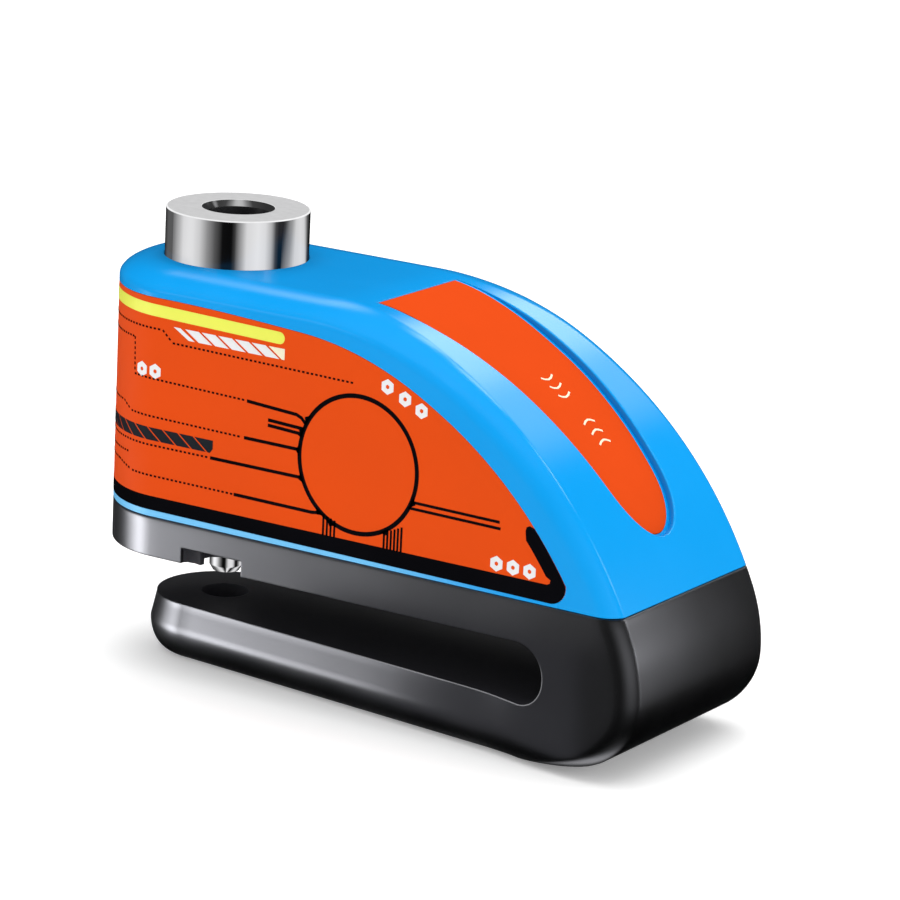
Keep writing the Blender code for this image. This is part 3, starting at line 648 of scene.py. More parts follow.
def upper_shape(top_inset, side_inset, runs, rear_steps, rungs, floor_z, across=()):
    """Outside of the housing and nose above floor_z.

    across lists extra columns in the top, as shares of the ridge's half width.
    """
    mesh = bmesh.new()
    wall = HALF_WIDTH - side_inset
    ridge_inset = side_inset * RIDGE_INSET_SHARE
    shares = rung_shares(rungs)

    def section(run):
        ridge = min(ridge_half(profile_at(run)[0]) - ridge_inset, wall - 1.0)
        line = []
        for share in shares:
            x, z = below_top(run, top_inset + SHOULDER_DROP * shoulder(share))
            line.append((x, lerp(ridge, wall, share), z))
        return line

    def rear(step):
        angle = QUARTER * step / rear_steps
        drop = SHOULDER_DROP - 0.7 * math.sin(angle)
        line = []
        for share in shares:
            length = lerp(12.0 - ridge_inset, REAR_LENGTH - side_inset, share)
            width = lerp(ridge_half(0) - ridge_inset, wall, share)
            line.append((-length * math.sin(angle), width * math.cos(angle),
                         TOP_Z - top_inset - drop * shoulder(share)))
        return line

    # one line per station, from the near side of the nose round the rear to the far side
    path = [mirror(section(run)) for run in reversed(runs)]
    path += [mirror(rear(k)) for k in range(1, rear_steps)]
    path.append([(x, 0.0, z) for x, _, z in rear(rear_steps)])
    path += [rear(k) for k in range(rear_steps - 1, 0, -1)]
    path += [section(run) for run in runs]
    base = profile_at(ARC_LENGTH)[1]
    rows = [place(mesh, line) for line in path]
    feet = place(mesh, [(line[-1][0], line[-1][1], base) for line in path])
    for i in range(len(rows) - 1):
        here, there = rows[i], rows[i + 1]
        for k in range(len(shares) - 1):
            mesh.faces.new((here[k], here[k + 1], there[k + 1], there[k]))
        mesh.faces.new((here[-1], feet[i], feet[i + 1], there[-1]))

    # the top, laid in columns from the near ridge to the far one
    near_start = len(runs) - 1
    far_start = len(rows) - len(runs)
    columns = []
    for i in range(len(runs)):
        near, far = rows[near_start - i][0], rows[far_start + i][0]
        column = [near]
        for end, parts in ((near, across), (far, [part for part in reversed(across) if part])):
            for part in parts:
                column.append(mesh.verts.new((end.co.x, end.co.y * part, end.co.z)))
        column.append(far)
        columns.append(column)
    for here, there in zip(columns, columns[1:]):
        for j in range(len(here) - 1):
            mesh.faces.new((here[j], there[j], there[j + 1], here[j + 1]))
    rear_ridge = [rows[i][0] for i in range(near_start, far_start + 1)]
    mesh.faces.new(rear_ridge + columns[0][1:-1][::-1])
    mesh.faces.new(rows[0][1:] + feet[1:-1] + rows[-1][:0:-1] + columns[-1][::-1])

    bmesh.ops.remove_doubles(mesh, verts=mesh.verts, dist=1e-7)
    bmesh.ops.recalc_face_normals(mesh, faces=mesh.faces)
    bmesh.ops.bisect_plane(mesh, geom=mesh.verts[:] + mesh.edges[:] + mesh.faces[:], dist=1e-8,
                           plane_co=(0, 0, floor_z * MM), plane_no=(0, 0, 1), clear_inner=True)
    bmesh.ops.holes_fill(mesh, edges=[edge for edge in mesh.edges if edge.is_boundary], sides=0)
    return mesh


def cast_half(x, z):
    """Half width of the cast body: the jaw widens to the full body upwards and at the nose."""
    jaw = JAW_RADIUS + JAW_SLOPE * max(x, 0.0)
    jaw = lerp(jaw, HALF_WIDTH, smoothstep((x - 58) / 20))
    return lerp(jaw, HALF_WIDTH, smoothstep((z - JAW_TOP) / 6.0))


def nose_corner(z, share):
    """(x, y) on the nose's rounded corner; share runs from 0 at the front to 1 at the wall."""
    if z <= NOSE_HEIGHT:
        curve = math.sqrt(1 - ((NOSE_HEIGHT - z) / NOSE_HEIGHT) ** 2)
        front = profile_at(ARC_LENGTH)[0] - NOSE_DEPTH + NOSE_DEPTH * curve
        depth = SHOULDER_DROP * (1 + 1.1 * (1 - z / NOSE_HEIGHT) ** 2)
        wall = cast_half(front - depth, z)
        ridge = min(ridge_half(front), wall - 2.5)
        return front - depth * shoulder(share), lerp(ridge, wall, share)
    depth = SHOULDER_DROP * shoulder(share)
    run = find_run(ARC_LENGTH * 0.3, lambda trial: below_top(trial, depth)[1] > z)
    ridge = ridge_half(profile_at(run)[0])
    return below_top(run, depth)[0], lerp(ridge, HALF_WIDTH, share)


def underside_pull(z):
    """How far the rounded underside draws the outline in."""
    if z >= UNDER_Z:
        return 0.0
    return 3.1 * (1 - math.sqrt(max(0.0, 1 - ((UNDER_Z - z) / UNDER_Z) ** 2)))


def cast_outline(z, inset, rear_steps, corner_steps, wall_shares):
    """Outline (x, y) of the cast body at height z."""
    pull = underside_pull(z) + inset
    draft = 0.9 * clamp((z - UNDER_Z) / (JAW_TOP - UNDER_Z))
    draft *= 1 - smoothstep((z - JAW_TOP) / 3.0)
    rear_x = lerp(JAW_RADIUS - draft, REAR_LENGTH, smoothstep((z - 9.4) / 9.0)) - pull
    rear_y = cast_half(0, z) - draft - pull
    half = []
    for k in range(rear_steps):
        angle = QUARTER * k / rear_steps
        half.append((-rear_x * math.cos(angle), rear_y * math.sin(angle)))
    nose_pull = pull * 0.25 + inset
    corner_x = nose_corner(z, 1.0)[0] - nose_pull
    for share in wall_shares:
        x = corner_x * share
        fade = 1 - smoothstep((x - 55) / 14)
        half.append((x, cast_half(x, z) - draft * fade - pull))
    for k in range(corner_steps + 1):
        x, y = nose_corner(z, math.sin((1 - k / corner_steps) * QUARTER))
        half.append((x - nose_pull, y - pull))
    half.append((nose_corner(z, 0.0)[0] - nose_pull, 0.0))
    return half + [(x, -y) for x, y in reversed(half[1:-1])]


# ---------------------------------------------------------------- cast body
CAST_LEVELS = (
    0.0, 0.05, 0.15, 0.3, 0.5, 0.8, 1.15, 1.55, 2.0, 2.5, 3.0, 3.6, 4.2, UNDER_Z, 5.6, 6.6, 7.8,
    8.6, 9.2, 9.8, 10.5, 11.25, 12.0, 12.5, 13.2, 14.0, 15.0, 16.0, 17.0, 18.0, 19.0, 20.5,
    22.0, 23.6, PART_Z - PART_ROUND, PART_Z - 0.1, PART_Z,
)
# x, y of the notch in the slot's roof, open to the near wall
NOTCH = (
    (5.75, -26.0), (5.75, -19.5), (6.2, -18.95), (7.4, -18.8), (8.6, -19.0), (8.7, -18.2),
    (6.9, -15.6), (7.2, -14.4), (10.4, -11.5), (13.8, -11.2), (16.0, -12.6), (16.75, -15.0),
    (16.75, -26.0),
)


def cast_solid():
    wall_shares = [k / 44 for k in range(44)] + [0.985]
    rings = []
    for z in CAST_LEVELS:
        edge = max(0.0, z - (PART_Z - PART_ROUND)) / PART_ROUND
        inset = 0.12 * (1 - math.sqrt(max(0.0, 1 - edge * edge)))
        outline = cast_outline(z, inset, 30, 14, wall_shares)
        rings.append([(x, y, z) for x, y in outline])
    return loft(rings)


def slot_cutter():
    rear_x = -40.0
    points = [(rear_x, -SLOT_RADIUS)]
    points += [(SLOT_END_X + SLOT_RADIUS * math.sin(angle), -SLOT_RADIUS * math.cos(angle))
               for angle in np.linspace(0, math.pi, 41)]
    points.append((rear_x, SLOT_RADIUS))
    return side_prism(points, 30, lift=(SLOT_TOP + JAW_TOP) / 2)


def is_dark_cast(x, y, z, normal):
    """Slot roof, jaw top and slot end, the hole in the jaw and the notch."""
    in_slot = JAW_TOP - 0.02 <= z <= SLOT_TOP + 0.02 and x < SLOT_END_X + SLOT_RADIUS + 0.1
    lines_slot = abs(normal.y) < 0.35 and (abs(normal.z) > 0.9 or x > SLOT_END_X - 1)
    in_hole = math.hypot(x, y) < PIN_HOLE_RADIUS + 0.02 and z < 24
    in_notch = SLOT_TOP - 0.1 < z < 21.5 and 5.6 < x < 17.2 and -19.6 < y < -10.9
    return (in_slot and lines_slot) or in_hole or in_notch


def build_cast():
    piece = mesh_object("cast_body", cast_solid(), ["gunmetal_cast", "black_textured"])
    shape = shape_of(piece)
    steps = [
        (CUT, slot_cutter()),
        (CUT, prism(NOTCH, SLOT_TOP - 2, 21.3)),
        (CUT, prism(circle(0, 0, PIN_HOLE_RADIUS, 72), -3, JAW_TOP + 3)),
        (CUT, prism(circle(0, 0, PIN_RADIUS + 0.2, 64), SLOT_TOP - 3, 24)),  # pin bore
        (CUT, prism(circle(0, 0, 10.3, 64), 21.4, PART_Z + 2)),  # spring seat
        (CUT, prism(circle(0, 0, 13.7, 64), 23.0, PART_Z + 2.5)),  # sleeve seat
    ]
    for x, y in SCREWS:
        # radius, z: head recess below, shank hole above
        profile = [(0, SLOT_TOP - 2), (2.9, SLOT_TOP - 2), (2.9, 21.2), (1.6, 21.2),
                   (1.6, PART_Z + 2), (0, PART_Z + 2)]
        steps.append((CUT, turned(profile, 36, x, y)))
    steps.append((CUT, box(27.0, 53.0, -9.6, 9.6, 23.4, PART_Z + 3)))  # tray
    for x in (24.2, 67.6):  # posts behind and ahead of the tray
        steps.append((JOIN, prism(circle(x, 0, 2.4, 28), PART_Z - 1.0, 26.7)))
        steps.append((CUT, prism(circle(x, 0, 1.1, 20), 22.4, 28)))
    carve(piece, steps)
    paint_where(piece, "black_textured", is_dark_cast)
    give_back(piece, shape)
    register(piece, "housing", "lower_body")


# ---------------------------------------------------------------- return spring
def build_spring():
    """A coil with closed ends."""
    radius, wire = 8.5, 0.5
    bottom, top = 21.7, 33.0
    turns, sides, per_turn = 3.5, 10, 40
    closed_share = 0.75 / turns
    steps = int(turns * per_turn)
    rings = []
    for k in range(steps + 1):
        share = k / steps
        rise = clamp((share - closed_share) / (1 - 2 * closed_share))
        middle = bottom + wire + (top - bottom - 2 * wire) * (0.04 * share + 0.96 * rise)
        angle = 2 * math.pi * turns * share
        thick = wire * (1.0 if 0 < k < steps else 0.75)
        ring = []
        for side in range(sides):
            around = 2 * math.pi * side / sides
            reach = radius + thick * math.cos(around)
            ring.append((reach * math.cos(angle), reach * math.sin(angle),
                         middle + thick * math.sin(around)))
        rings.append(ring)
    piece = mesh_object("coil_spring", loft(rings), ["machined_steel"])
    register(piece, "housing", "return_spring")
    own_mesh(piece)


# ---------------------------------------------------------------- channel and inlay shapes
CHANNEL_START_RUN = run_at_x(CHANNEL_X)


def channel_half(run, grow, least):
    """Half width of the inlay's outline grown by grow; never below least."""
    length = CHANNEL_END_LENGTH + grow
    run = min(run, CHANNEL_ROUND_RUN + length * 0.9994)
    ahead = run - CHANNEL_START_RUN
    half = CHANNEL_HALF + grow - 0.03 * ahead - 0.00105 * ahead * ahead
    past = (run - CHANNEL_ROUND_RUN) / length
    return max(half * math.sqrt(max(0.0, 1 - max(0.0, past) ** 2.6)), least)


def channel_middle(run):
    """Sideways place of the channel's middle."""
    return 0.6 * smoothstep((run - 14) / 20)


def channel_depth(run):
    return 0.05 + 0.95 * smoothstep((run - CHANNEL_START_RUN) / 22.0)


def channel_runs(start, grow, straight, rounded):
    """Stations: even along the straight part, closing up towards the rounded end."""
    length = CHANNEL_END_LENGTH + grow
    runs = [lerp(start, CHANNEL_ROUND_RUN, k / straight) for k in range(straight + 1)]
    runs += [CHANNEL_ROUND_RUN + length * math.sin(k / rounded * QUARTER)
             for k in range(1, rounded + 1)]
    return runs


def inlay_shape(start, grow, high, low, straight, rounded):
    """A strip following the top; high and low are its faces relative to channel_depth."""
    mesh = bmesh.new()
    rows = []
    for run in channel_runs(start, grow, straight, rounded):
        half = channel_half(run, grow, 0.22)
        row = []
        for share in (-1, -0.66, -0.33, 0.0, 0.33, 0.66, 1):
            for level in (high, low):
                x, z = below_top(run, channel_depth(run) + level)
                row.append((x, channel_middle(run) + share * half, z))
        rows.append(place(mesh, row))
    for here, there in zip(rows, rows[1:]):
        for k in range(len(here) - 2):
            mesh.faces.new((here[k], here[k + 2], there[k + 2], there[k]))
        for k in (0, -2):
            mesh.faces.new((here[k], here[k + 1], there[k + 1], there[k]))
    for end in (rows[0], rows[-1]):
        mesh.faces.new(end[::2] + end[::-2])
    return mesh


def channel_groove():
    """Open channel above the inlay: floor, wall, and a rounded lip widening upwards."""
    grow, flare = 0.65, 0.35
    wide = grow + flare

    def shrunk(run, amount):
        """The run of the same station on an outline grown only by amount."""
        if run <= CHANNEL_ROUND_RUN:
            return run
        past = (run - CHANNEL_ROUND_RUN) / (CHANNEL_END_LENGTH + wide)
        return CHANNEL_ROUND_RUN + past * (CHANNEL_END_LENGTH + amount)

    rings = []
    for run in channel_runs(CHANNEL_START_RUN - 0.1, wide, 60, 40):
        floor = channel_depth(shrunk(run, grow))
        lip = flare * min(1.0, floor / 0.5)
        levels = [(1.0, -3.0)]  # share of the lip's width, depth
        for k in range(6):
            angle = k / 5 * QUARTER
            levels.append((1 - math.sin(angle), lip * (1 - math.cos(angle)) * 0.9 - 0.01))
        levels.append((0.0, floor + 0.06))
        near, far = [], []
        for share, depth in levels:
            amount = grow + lip * share
            own_run = shrunk(run, amount)
            x, z = below_top(own_run, depth)
            half = channel_half(own_run, amount, 0.2)
            middle = channel_middle(own_run)
            near.append((x, middle - half, z))
            far.append((x, middle + half, z))
        rings.append(near + far[::-1])
    return loft(rings)


# ---------------------------------------------------------------- label shapes
# On the wall, u runs forwards from the lock axis; below 0 it follows the rear ellipse.
REAR_PIECES = 600


def rear_arc_lengths():
    """Lengths along the rear quarter ellipse at even steps of its angle."""
    lengths = [0.0]
    step = QUARTER / REAR_PIECES
    for k in range(REAR_PIECES):
        angle = (k + 0.5) * step
        speed = math.hypot(REAR_LENGTH * math.cos(angle), HALF_WIDTH * math.sin(angle))
        lengths.append(lengths[-1] + speed * step)
    return lengths


REAR_LENGTHS = rear_arc_lengths()
REAR_ANGLES = np.linspace(0, QUARTER, REAR_PIECES + 1)
HALF_REAR = REAR_LENGTHS[-1]


def wall_point(u, z, out=0.0):
    """A point on the near wall, or on the near half of the rear, moved outwards by out."""
    if u >= 0:
        return (u, -HALF_WIDTH - out, z)
    angle = float(np.interp(-u, REAR_LENGTHS, REAR_ANGLES))
    sine, cosine = math.sin(angle), math.cos(angle)
    normal_x, normal_y = -sine / REAR_LENGTH, -cosine / HALF_WIDTH
    length = math.hypot(normal_x, normal_y)
    return (-REAR_LENGTH * sine + normal_x / length * out,
            -HALF_WIDTH * cosine + normal_y / length * out, z)


def label_drop(run):
    """Distance of the label's upper edge below the top line."""
    return 3.5 + 2.3 * smoothstep((run + 26) / 56)


def label_top(x):
    run = find_run(-60.0, lambda trial: below_top(trial, label_drop(trial))[0] < x)
    return below_top(run, label_drop(run))[1]


def label_low(u):
    return LABEL_LOW - LABEL_FALL * max(u, 0.0)


def label_corner(angle):
    """(u, z) on the rounded lower front corner."""
    return (LABEL_END_X - LABEL_CORNER + LABEL_CORNER * math.sin(angle),
            label_low(LABEL_END_X) + LABEL_CORNER - LABEL_CORNER * math.cos(angle))


def label_band(outer, inner, grow):
    """The label's band round the rear, from inner to outer off the wall, grown by grow."""
    stations = [*np.linspace(-HALF_REAR, 0, 46), *np.linspace(0, LABEL_END_X - 3.0, 64)[1:]]
    spans = [(u, label_low(u), label_top(max(u, -16.0))) for u in stations]
    for k in range(1, 13):
        u, low = label_corner(k / 12 * QUARTER)
        spans.append((u, low, max(label_top(u), low + 0.12)))
    near = []
    for u, low, high in spans:
        u += grow * smoothstep((u - (LABEL_END_X - 4)) / 4)
        corners = ((outer, low - grow), (outer, high + grow),
                   (inner, high + grow), (inner, low - grow))
        near.append([wall_point(u, z, out) for out, z in corners])
    middle = [(x, 0.0, z) for x, _, z in near[0]]
    return loft(near[:0:-1] + [middle] + [mirror(ring) for ring in near[1:]])


# ---------------------------------------------------------------- housing
TOP_LINE = [profile_at(ARC_LENGTH * k / 240) for k in range(241)]


def is_channel_wall(x, y, z, normal):
    """The channel's side walls, below their rounded lip."""
    if x < CHANNEL_X + 1 or abs(y) > 12.5 or z < 27:
        return False
    top_x, top_z, slope = min(TOP_LINE, key=lambda top: (top[0] - x) ** 2 + (top[1] - z) ** 2)
    depth = (top_x - x) * math.sin(slope) + (top_z - z) * math.cos(slope)
    outward = normal.x * math.sin(slope) + normal.z * math.cos(slope)
    return 0.10 < depth < 1.4 and outward < 0.72


def is_lower_strip(x, y, z, normal):
    """The housing's wall under the label."""
    if z > 26.25 or x > LABEL_END_X - 1:
        return False
    if x > 0:
        return abs(y) > HALF_WIDTH - 0.05 and abs(normal.y) > 0.7
    on_rear = (x / REAR_LENGTH) ** 2 + (y / HALF_WIDTH) ** 2 > 0.985
    return on_rear and abs(normal.z) < 0.5


def housing_steps():
    cavity_runs = [-ARC_X0, -ARC_X0 * 0.5, 0.0] + [ARC_LENGTH * k / 12 for k in range(1, 13)]
    rebate = cast_outline(PART_Z, 1.25, 9, 5, (0.0, 0.2, 0.4, 0.6, 0.72, 0.82, 0.9, 0.96))
    # radius, z of the hole for the lock cylinder, with a small chamfer at the top
    cylinder_hole = [(0, 50), (RING_RADIUS + 0.09, 50), (RING_RADIUS + 0.09, TOP_Z - 0.08),
                     (RING_RADIUS + 0.22, TOP_Z + 0.05), (0, TOP_Z + 0.05)]
    inlay_gap = 0.06
    steps = [
        (CUT, upper_shape(3.6, 2.4, cavity_runs, 7, 3, PART_Z - 4)),
        (CUT, prism(rebate, PART_Z - 3, PART_Z + 1.25)),
        (CUT, turned(cylinder_hole, 96)),
        (CUT, channel_groove()),
        (CUT, inlay_shape(CHANNEL_START_RUN - inlay_gap, inlay_gap, -0.25, 1.15, 50, 36)),
        (CUT, label_band(1.5, -0.6, 0.06)),
    ]
    for x, y in SCREWS:
        top = 50.0 if x < 40 else 44.0
        wall_y = math.copysign(18.6, y)
        steps += [
            (JOIN, prism(circle(x, y, 3.0, 24), PART_Z + PART_GAP, top)),  # boss
            (JOIN, box(x - 2.0, x + 2.0, y, wall_y, PART_Z + 2.0, top - 1)),  # web to the wall
            (CUT, prism(circle(x, y, 1.6, 20), PART_Z - 1, top - 4)),  # screw hole
        ]
    return steps


def build_shell():
    runs = [-ARC_X0 + ARC_X0 * k / 20 for k in range(21)]
    runs += [ARC_LENGTH * k / 86 for k in range(1, 87)]
    solid = upper_shape(0, 0, runs, 40, 14, PART_Z + PART_GAP, across=(0.97, 0.9, 0.0))
    piece = mesh_object("housing_shell", solid, ["blue_paint", "blue_paint_shade"])
    shape = shape_of(piece)
    carve(piece, housing_steps())
    # painted shade on the channel's walls
    paint_where(piece, "blue_paint_shade", is_channel_wall)
    # painted highlight along the housing's lower edge, under the label
    paint_where(piece, "blue_paint_lit", is_lower_strip)
    give_back(piece, shape)
    register(piece, "housing", "upper_housing")


def build_label():
    piece = mesh_object("label_film", label_band(0.0, -0.35, 0.0), ["orange_vinyl"])
    register(piece, "housing", "wrap_label")


def build_inlay():
    strip = inlay_shape(CHANNEL_START_RUN, 0.0, 0.0, 0.9, 60, 40)
    piece = mesh_object("inlay_strip", strip, ["orange_inlay"])
    even_normals(piece)
    register(piece, "housing", "spine_inlay")


# ---------------------------------------------------------------- printing helpers
def clip(points, edge, side):
    """Keeps the part of a convex (u, z) outline on one side of a line of equal u."""
    kept = []
    for (u0, z0), (u1, z1) in zip(points, list(points[1:]) + [points[0]]):
        inside0, inside1 = (u0 - edge) * side >= 0, (u1 - edge) * side >= 0
        if inside0:
            kept.append((u0, z0))
        if inside0 != inside1:
            kept.append((edge, lerp(z0, z1, (edge - u0) / (u1 - u0))))
    clean = []
    for point in kept:
        if not clean or math.dist(point, clean[-1]) > 1e-4:
            clean.append(point)
    if len(clean) > 1 and math.dist(clean[0], clean[-1]) <= 1e-4:
        clean.pop()
    return clean


def unit(vector):
    return vector / np.hypot(*vector)


def ribbon_edges(points, width, closed=False):
    """Pairs of edge points, left and right of a line of even width."""
    pairs = []
    count = len(points)
    for i, point in enumerate(points):
        before = point - points[i - 1] if i or closed else points[1] - point
        after = points[(i + 1) % count] - point if i < count - 1 or closed else before
        before, after = unit(before), unit(after)
        along = unit(before + after)
        reach = width / 2 / float(along @ before)
        offset = np.array([-along[1], along[0]]) * reach
        pairs.append((point + offset, point - offset))
    return pairs


class Print:
    """Thin closed shapes of one ink, laid on both walls."""

    def __init__(self):
        self.mesh = bmesh.new()

    def polygon(self, outline, hole=None):
        """A filled (u, z) outline; on the curved rear it is laid in strips to hug the wall."""
        first, last = min(u for u, _ in outline), max(u for u, _ in outline)
        if hole is None and first < 0 and last - first > 0.7:
            strips = math.ceil((last - first) / 0.6)
            edges = [first + (last - first) * i / strips for i in range(strips + 1)]
            for start, end in zip(edges, edges[1:]):
                part = clip(clip(outline, start, 1), end, -1)
                if len(part) > 2:
                    self.polygon(part)
            return
        for flip in (1, -1):
            low, high = self.layers(outline, flip)
            if hole is None:
                add_prism(self.mesh, low, high)
                continue
            bridge(self.mesh, low, high)
            hole_low, hole_high = self.layers(hole, flip)
            for i in range(len(outline)):
                j = (i + 1) % len(outline)
                for face in ((hole_low[i], hole_high[i], hole_high[j], hole_low[j]),
                             (low[i], hole_low[i], hole_low[j], low[j]),
                             (high[i], high[j], hole_high[j], hole_high[i])):
                    self.mesh.faces.new(face)

    def layers(self, outline, flip):
        """The outline's vertices on the ink's lower and upper face."""
        both = []
        for height in (PRINT_LOW, PRINT_HIGH):
            points = [wall_point(u, z, height) for u, z in outline]
            both.append(place(self.mesh, [(x, y * flip, z) for x, y, z in points]))
        return both

    def ribbon(self, points, width, closed=False, step=1.2):
        """A line of even width through (u, z) points, divided by step round the rear."""
        points = [np.array(point, float) for point in points]
        fine = []
        for start, end in zip(points, points[1:] + points[:1] if closed else points[1:]):
            curved = min(start[0], end[0]) < 0
            parts = max(1, math.ceil(np.hypot(*(end - start)) / step)) if curved else 1
            fine += [start + (end - start) * j / parts for j in range(parts)]
        if not closed:
            fine.append(points[-1])
        rings = []
        for left, right in ribbon_edges(fine, width, closed):
            corners = ((left, PRINT_LOW), (right, PRINT_LOW),
                       (right, PRINT_HIGH), (left, PRINT_HIGH))
            rings.append([wall_point(max(u, -HALF_REAR + 0.01), z, height)
                          for (u, z), height in corners])
        loft(rings, self.mesh, closed)
        loft([mirror(ring) for ring in rings], self.mesh, closed)

    def dashes(self, points, width=0.29, dash=0.42, gap=0.36):
        points = [np.array(point, float) for point in points]
        for start, end in zip(points, points[1:]):
            length = np.hypot(*(end - start))
            along = (end - start) / length
            done = 0.0
            while done + dash <= length + 1e-6:
                ends = [start + along * done, start + along * (done + dash)]
                self.ribbon(ends, width, step=9)
                done += dash + gap

    def finish(self, name, material):
        bmesh.ops.recalc_face_normals(self.mesh, faces=self.mesh.faces)
        to_frame(self.mesh)
        register(link_object(name, self.mesh, [material]), "housing")


def leaning(u, width, lean, low, high):
    """A block leaning forwards as it goes down; u is the rear end of its top edge."""
    return [(u, high), (u + width, high), (u + width + lean, low), (u + lean, low)]


# ---------------------------------------------------------------- printed pattern, (u, z)
RING_CENTRE = (36.8, 39.9)
RING_PRINT_RADIUS = 10.3
RING_LEADS = (
    [(16.8, 46.05), (25.7, 45.55), (26.6, 45.2), (27.4, 44.4)],
    [(20.7, 43.85), (27.0, 43.6)],
    [(20.7, 43.05), (26.2, 42.8), (26.8, 42.4)],
    [(16.5, 40.4), (26.5, 40.35)],
    [(10.5, 36.2), (26.9, 36.2)],
    [(15.0, 31.4), (29.0, 31.3), (30.6, 31.5)],
)
FRONT_LEADS = ([(46.3, 36.1), (61.5, 35.95)], [(45.9, 35.15), (61.7, 35.0)])
GUSSET_DEGREES = (150, 162, 178, 201, 232, 338, 300, 246)
DASHED_TRACES = (
    [(-HALF_REAR, 54.4), (1.1, 54.2), (3.0, 52.5), (35.6, 52.0)],
    [(-HALF_REAR, 52.2), (-4.6, 52.2), (-4.4, 46.55), (16.6, 46.1)],
    [(-HALF_REAR, 41.8), (-7.4, 41.8), (-5.0, 40.7), (16.4, 40.4)],
    [(-HALF_REAR, 36.2), (10.3, 36.2)],
    [(-HALF_REAR, 34.0), (-5.0, 34.2)],
    [(-HALF_REAR, 32.4), (-8.6, 32.4), (-4.4, 31.5), (14.8, 31.4)],
)
DOTS = ((-2.75, 47.6), (-0.1, 47.65), (41.4, 52.45), (44.5, 51.15), (47.4, 49.9),
        (61.3, 29.75), (64.1, 29.7), (66.9, 29.65))


def front_band():
    """Outline of the band along the lower edge that turns up the label's front."""
    outer = []
    for k in range(25):
        u, z = label_corner(k / 24 * QUARTER)
        if k < 8 or z < label_top(u):
            outer.append((u, z))
    corner_count = len(outer)
    for u in np.linspace(outer[-1][0] - 0.04, 67.4, 16):
        if label_top(u) > outer[-1][1]:
            outer.append((u, label_top(u)))
    inner = []
    for u, z in reversed(outer[corner_count:]):
        slope = profile_at(run_at_x(u + 4.5))[2]
        inner.append((u - math.sin(slope) * 2.25, z - math.cos(slope) * 2.25))
    top = PRINT_BAND_TOP
    inner = [point for point in inner if point[1] > top + 0.9]
    inner += [(70.45, top + 0.75), (70.35, top + 0.25), (69.9, top)]
    corner_u = LABEL_END_X - LABEL_CORNER
    return ([(0.0, LABEL_LOW), (corner_u, label_low(corner_u))] + outer[1:]
            + [(66.6, 36.35), (66.05, 36.1), (65.9, 35.5)] + inner[1:] + [(0.0, top)])


def print_black():
    ink = Print()
    ink.ribbon(circle(*RING_CENTRE, RING_PRINT_RADIUS, 96, 0.02), 0.68, closed=True)
    for lead in RING_LEADS:
        ink.ribbon(lead, 0.5)
    for k in range(4):  # ticks under the ring
        ink.ribbon([(31.2 + 0.66 * k, 28.2), (31.2 + 0.66 * k, 31.4 - 0.2 * k)], 0.34)
    for k in range(6):
        ink.ribbon([(41.9 + 0.6 * k, 28.2), (41.9 + 0.6 * k, 30.7 + 0.26 * k)], 0.34)
    for lead in FRONT_LEADS:
        ink.ribbon(lead, 0.42)
    for degrees in GUSSET_DEGREES:  # small triangles standing on the ring
        angle = math.radians(degrees)
        out_u, out_z = math.cos(angle), math.sin(angle)
        u = RING_CENTRE[0] + RING_PRINT_RADIUS * out_u
        z = RING_CENTRE[1] + RING_PRINT_RADIUS * out_z
        ink.polygon([(u + out_z * 0.95, z - out_u * 0.95), (u - out_z * 0.95, z + out_u * 0.95),
                     (u + out_u * 0.8, z + out_z * 0.8)])
    for trace in DASHED_TRACES:
        ink.dashes(trace)
    middle = (LABEL_LOW + PRINT_BAND_TOP) / 2
    ink.ribbon([(-HALF_REAR, middle), (0, middle)], PRINT_BAND_TOP - LABEL_LOW)
    ink.polygon(front_band())
    ink.finish("print_black", "ink_black")


def print_charcoal():
    ink = Print()
    low, high, pitch, size = 36.95, 38.9, 2.85, 2.5
    for k in range(6):
        ink.polygon(leaning(-9.6 + pitch * k, size, size, low, high))
    u = -9.6 + pitch * 6  # the foremost block is cut short
    ink.polygon([(u, high), (u + 3.4, high), (u + 3.4, 37.6), (u + 2.9, low), (u + size, low)])
    for k in range(5):
        ink.polygon(leaning(-12.45 - pitch * k, size, size, low, high))
    ink.finish("print_charcoal", "ink_charcoal")


def print_white():
    ink = Print()
    ink.polygon([(3.1, 55.0), (4.3, 55.0), (7.0, 53.35), (5.9, 53.35)])
    for k in range(5):
        ink.polygon(leaning(5.2 + 3.02 * k, 2.45, 2.55, 53.35, 55.0))
    for u, z in DOTS:
        ink.polygon(circle(u, z, 1.18, 6, QUARTER), circle(u, z, 0.34, 6, QUARTER))
    ink.finish("print_white", "ink_white")


def print_yellow():
    """The bar near the top, round the rear, with a round front end."""
    ink = Print()
    width, end_u = 1.85, 22.2

    def on_bar(u):
        return (u, 57.0 - 0.022 * max(u, -8.0))

    ink.ribbon([on_bar(u) for u in (*np.linspace(-HALF_REAR, 0, 24), 8.0, 16.0, end_u)], width)
    end_z = on_bar(end_u)[1]
    cap = [(end_u + width / 2 * math.cos(angle), end_z + width / 2 * math.sin(angle))
           for angle in np.linspace(-QUARTER, QUARTER, 12)[1:-1]]
    ink.polygon([(end_u, end_z - width / 2)] + cap + [(end_u, end_z + width / 2)])
    ink.finish("print_yellow", "ink_yellow")


def print_cream():
    ink = Print()
    ink.polygon([(20.3, 55.0), (23.2, 55.0), (23.2, 53.35), (22.75, 53.35)])
    ink.finish("print_cream", "ink_cream")


# (first run, pitch, y) and the (run, y) points of each arrow mark about its own tip
INLAY_MARKS = (
    ((32.0, 1.9, 0.73), ((-0.66, -1.3), (-0.22, -0.75), (0, 0), (-0.2, 0.9), (-0.66, 1.75))),
    ((40.5, 1.93, 1.05), ((0.6, -1.65), (0.2, -0.85), (0, 0), (0.18, 0.65), (0.6, 1.35))),
)


